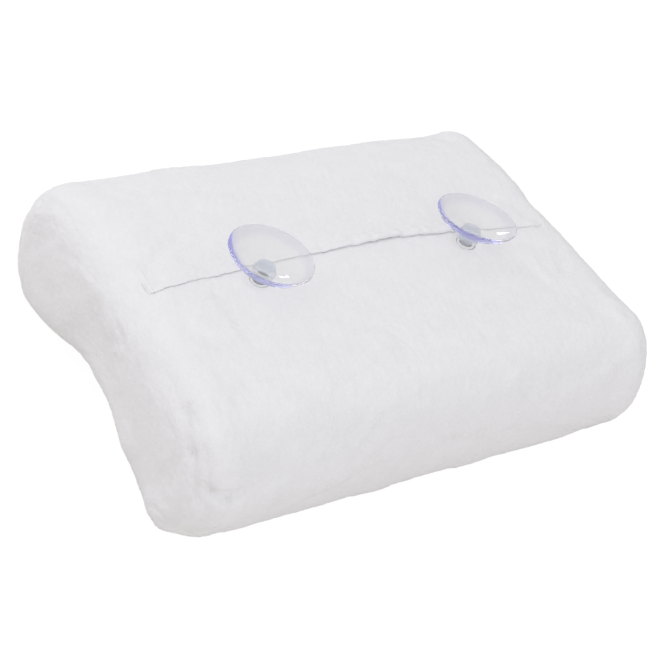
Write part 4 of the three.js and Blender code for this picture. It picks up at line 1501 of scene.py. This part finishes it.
def vinyl_material(name, clear):
    material, tree = new_material(name)
    smudge = noise_node(tree, object_place(tree), SMUDGE_SCALE, 3.0)[0]
    colour = vinyl_colour_and_painted_tint(tree, smudge) if clear else mix_colour(tree, smudge, MILKY_SMUDGE, MILKY)
    smooth = CLEAR_ROUGHNESS if clear else MILKY_ROUGHNESS
    vinyl = add_node(tree, "ShaderNodeBsdfPrincipled", {
        "Base Color": colour, "IOR": VINYL_IOR,
        "Roughness": math_node(tree, "MULTIPLY_ADD", smudge, SMUDGE_ROUGHNESS, smooth),
        "Transmission Weight": CLEAR_SHARE if clear else MILKY_SHARE,
        "Normal": bump_node(tree, 0.05, 0.5 * MM, smudge),
    })
    shadow = add_node(tree, "ShaderNodeBsdfTransparent", {"Color": (*VINYL_SHADOW, 1)})
    path = add_node(tree, "ShaderNodeLightPath").outputs
    passing = math_node(tree, "MAXIMUM", path["Is Shadow Ray"], path["Is Diffuse Ray"])
    surface = add_node(tree, "ShaderNodeMixShader", {0: passing, 1: vinyl.outputs[0], 2: shadow.outputs[0]})
    add_node(tree, "ShaderNodeOutputMaterial", {"Surface": surface.outputs[0]})
    return material


cup_vinyl, hub_vinyl = vinyl_material("cup_vinyl", True), vinyl_material("hub_vinyl", False)
print("Made", cup_vinyl.name, "and", hub_vinyl.name)

# %% [markdown]
# Last, every piece is given the material that it wears and the body that it moves with, and the
# node of the construction that it stands for is hidden. The flap bends at its root, so it is left
# attached to no body. The size that each panel of cloth was cut to is listed, and its area is
# printed beside it.

# %% Dress the construction


def dress(piece, material, body_name, node):
    piece.data.materials.clear()
    piece.data.materials.append(material)
    if body_name:
        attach(piece, body_name)
    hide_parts(node)
    print(node, "wears", material.name, "on", body_name or "two bodies")


def half_area(piece):
    return sum(face.area for face in piece.data.polygons) / 2


for node, piece in panels.items():
    dress(piece, towelling, "cushion", node)
dress(foam, cream_foam, "cushion", "foam_core")
dress(hook_tape, hook_ribbon, "cushion", "hook_tape")
dress(loop_tape, loop_cloth, "flap", "loop_tape")
dress(flap, towelling, None, "closure_flap")
for side in ("left", "right"):
    dress(tacks[side], white_thread, "cushion", side + "_bar_tack")
    dress(eyelets[side], white_thread, side + "_eyelet_ring", side + "_eyelet")
    dress(washers[side], felt, "cushion", side + "_eyelet_backing")
    dress(cups[side], cup_vinyl, side + "_cup", side + "_suction_cup")
    cups[side].data.materials.append(hub_vinyl)
    cups[side].data.polygons.foreach_set("material_index", hub_faces[side])

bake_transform(flap)

CUT = {
    "contour_panel": (0.30, 0.215),
    "lower_back_panel": (0.30, 0.215),
    "upper_back_panel": (0.30, 0.185),
    "left_end_panel": (0.20, 0.082),
    "right_end_panel": (0.20, 0.082),
    "closure_flap": (2 * STRAIGHT, FLAP_WIDTH + 1 * MM),
}
for node, piece in {**panels, "closure_flap": flap}.items():
    cut_area = CUT[node][0] * CUT[node][1]
    print(node, "covers", round(half_area(piece), 4), "of", round(cut_area, 4), "square metres")

# %% Compare the size with the construction
seen_low, seen_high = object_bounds()
for name, size in (("Construction", cad_high - cad_low), ("Dressed", seen_high - seen_low)):
    print(name, "measures", [round(x, 4) for x in size])
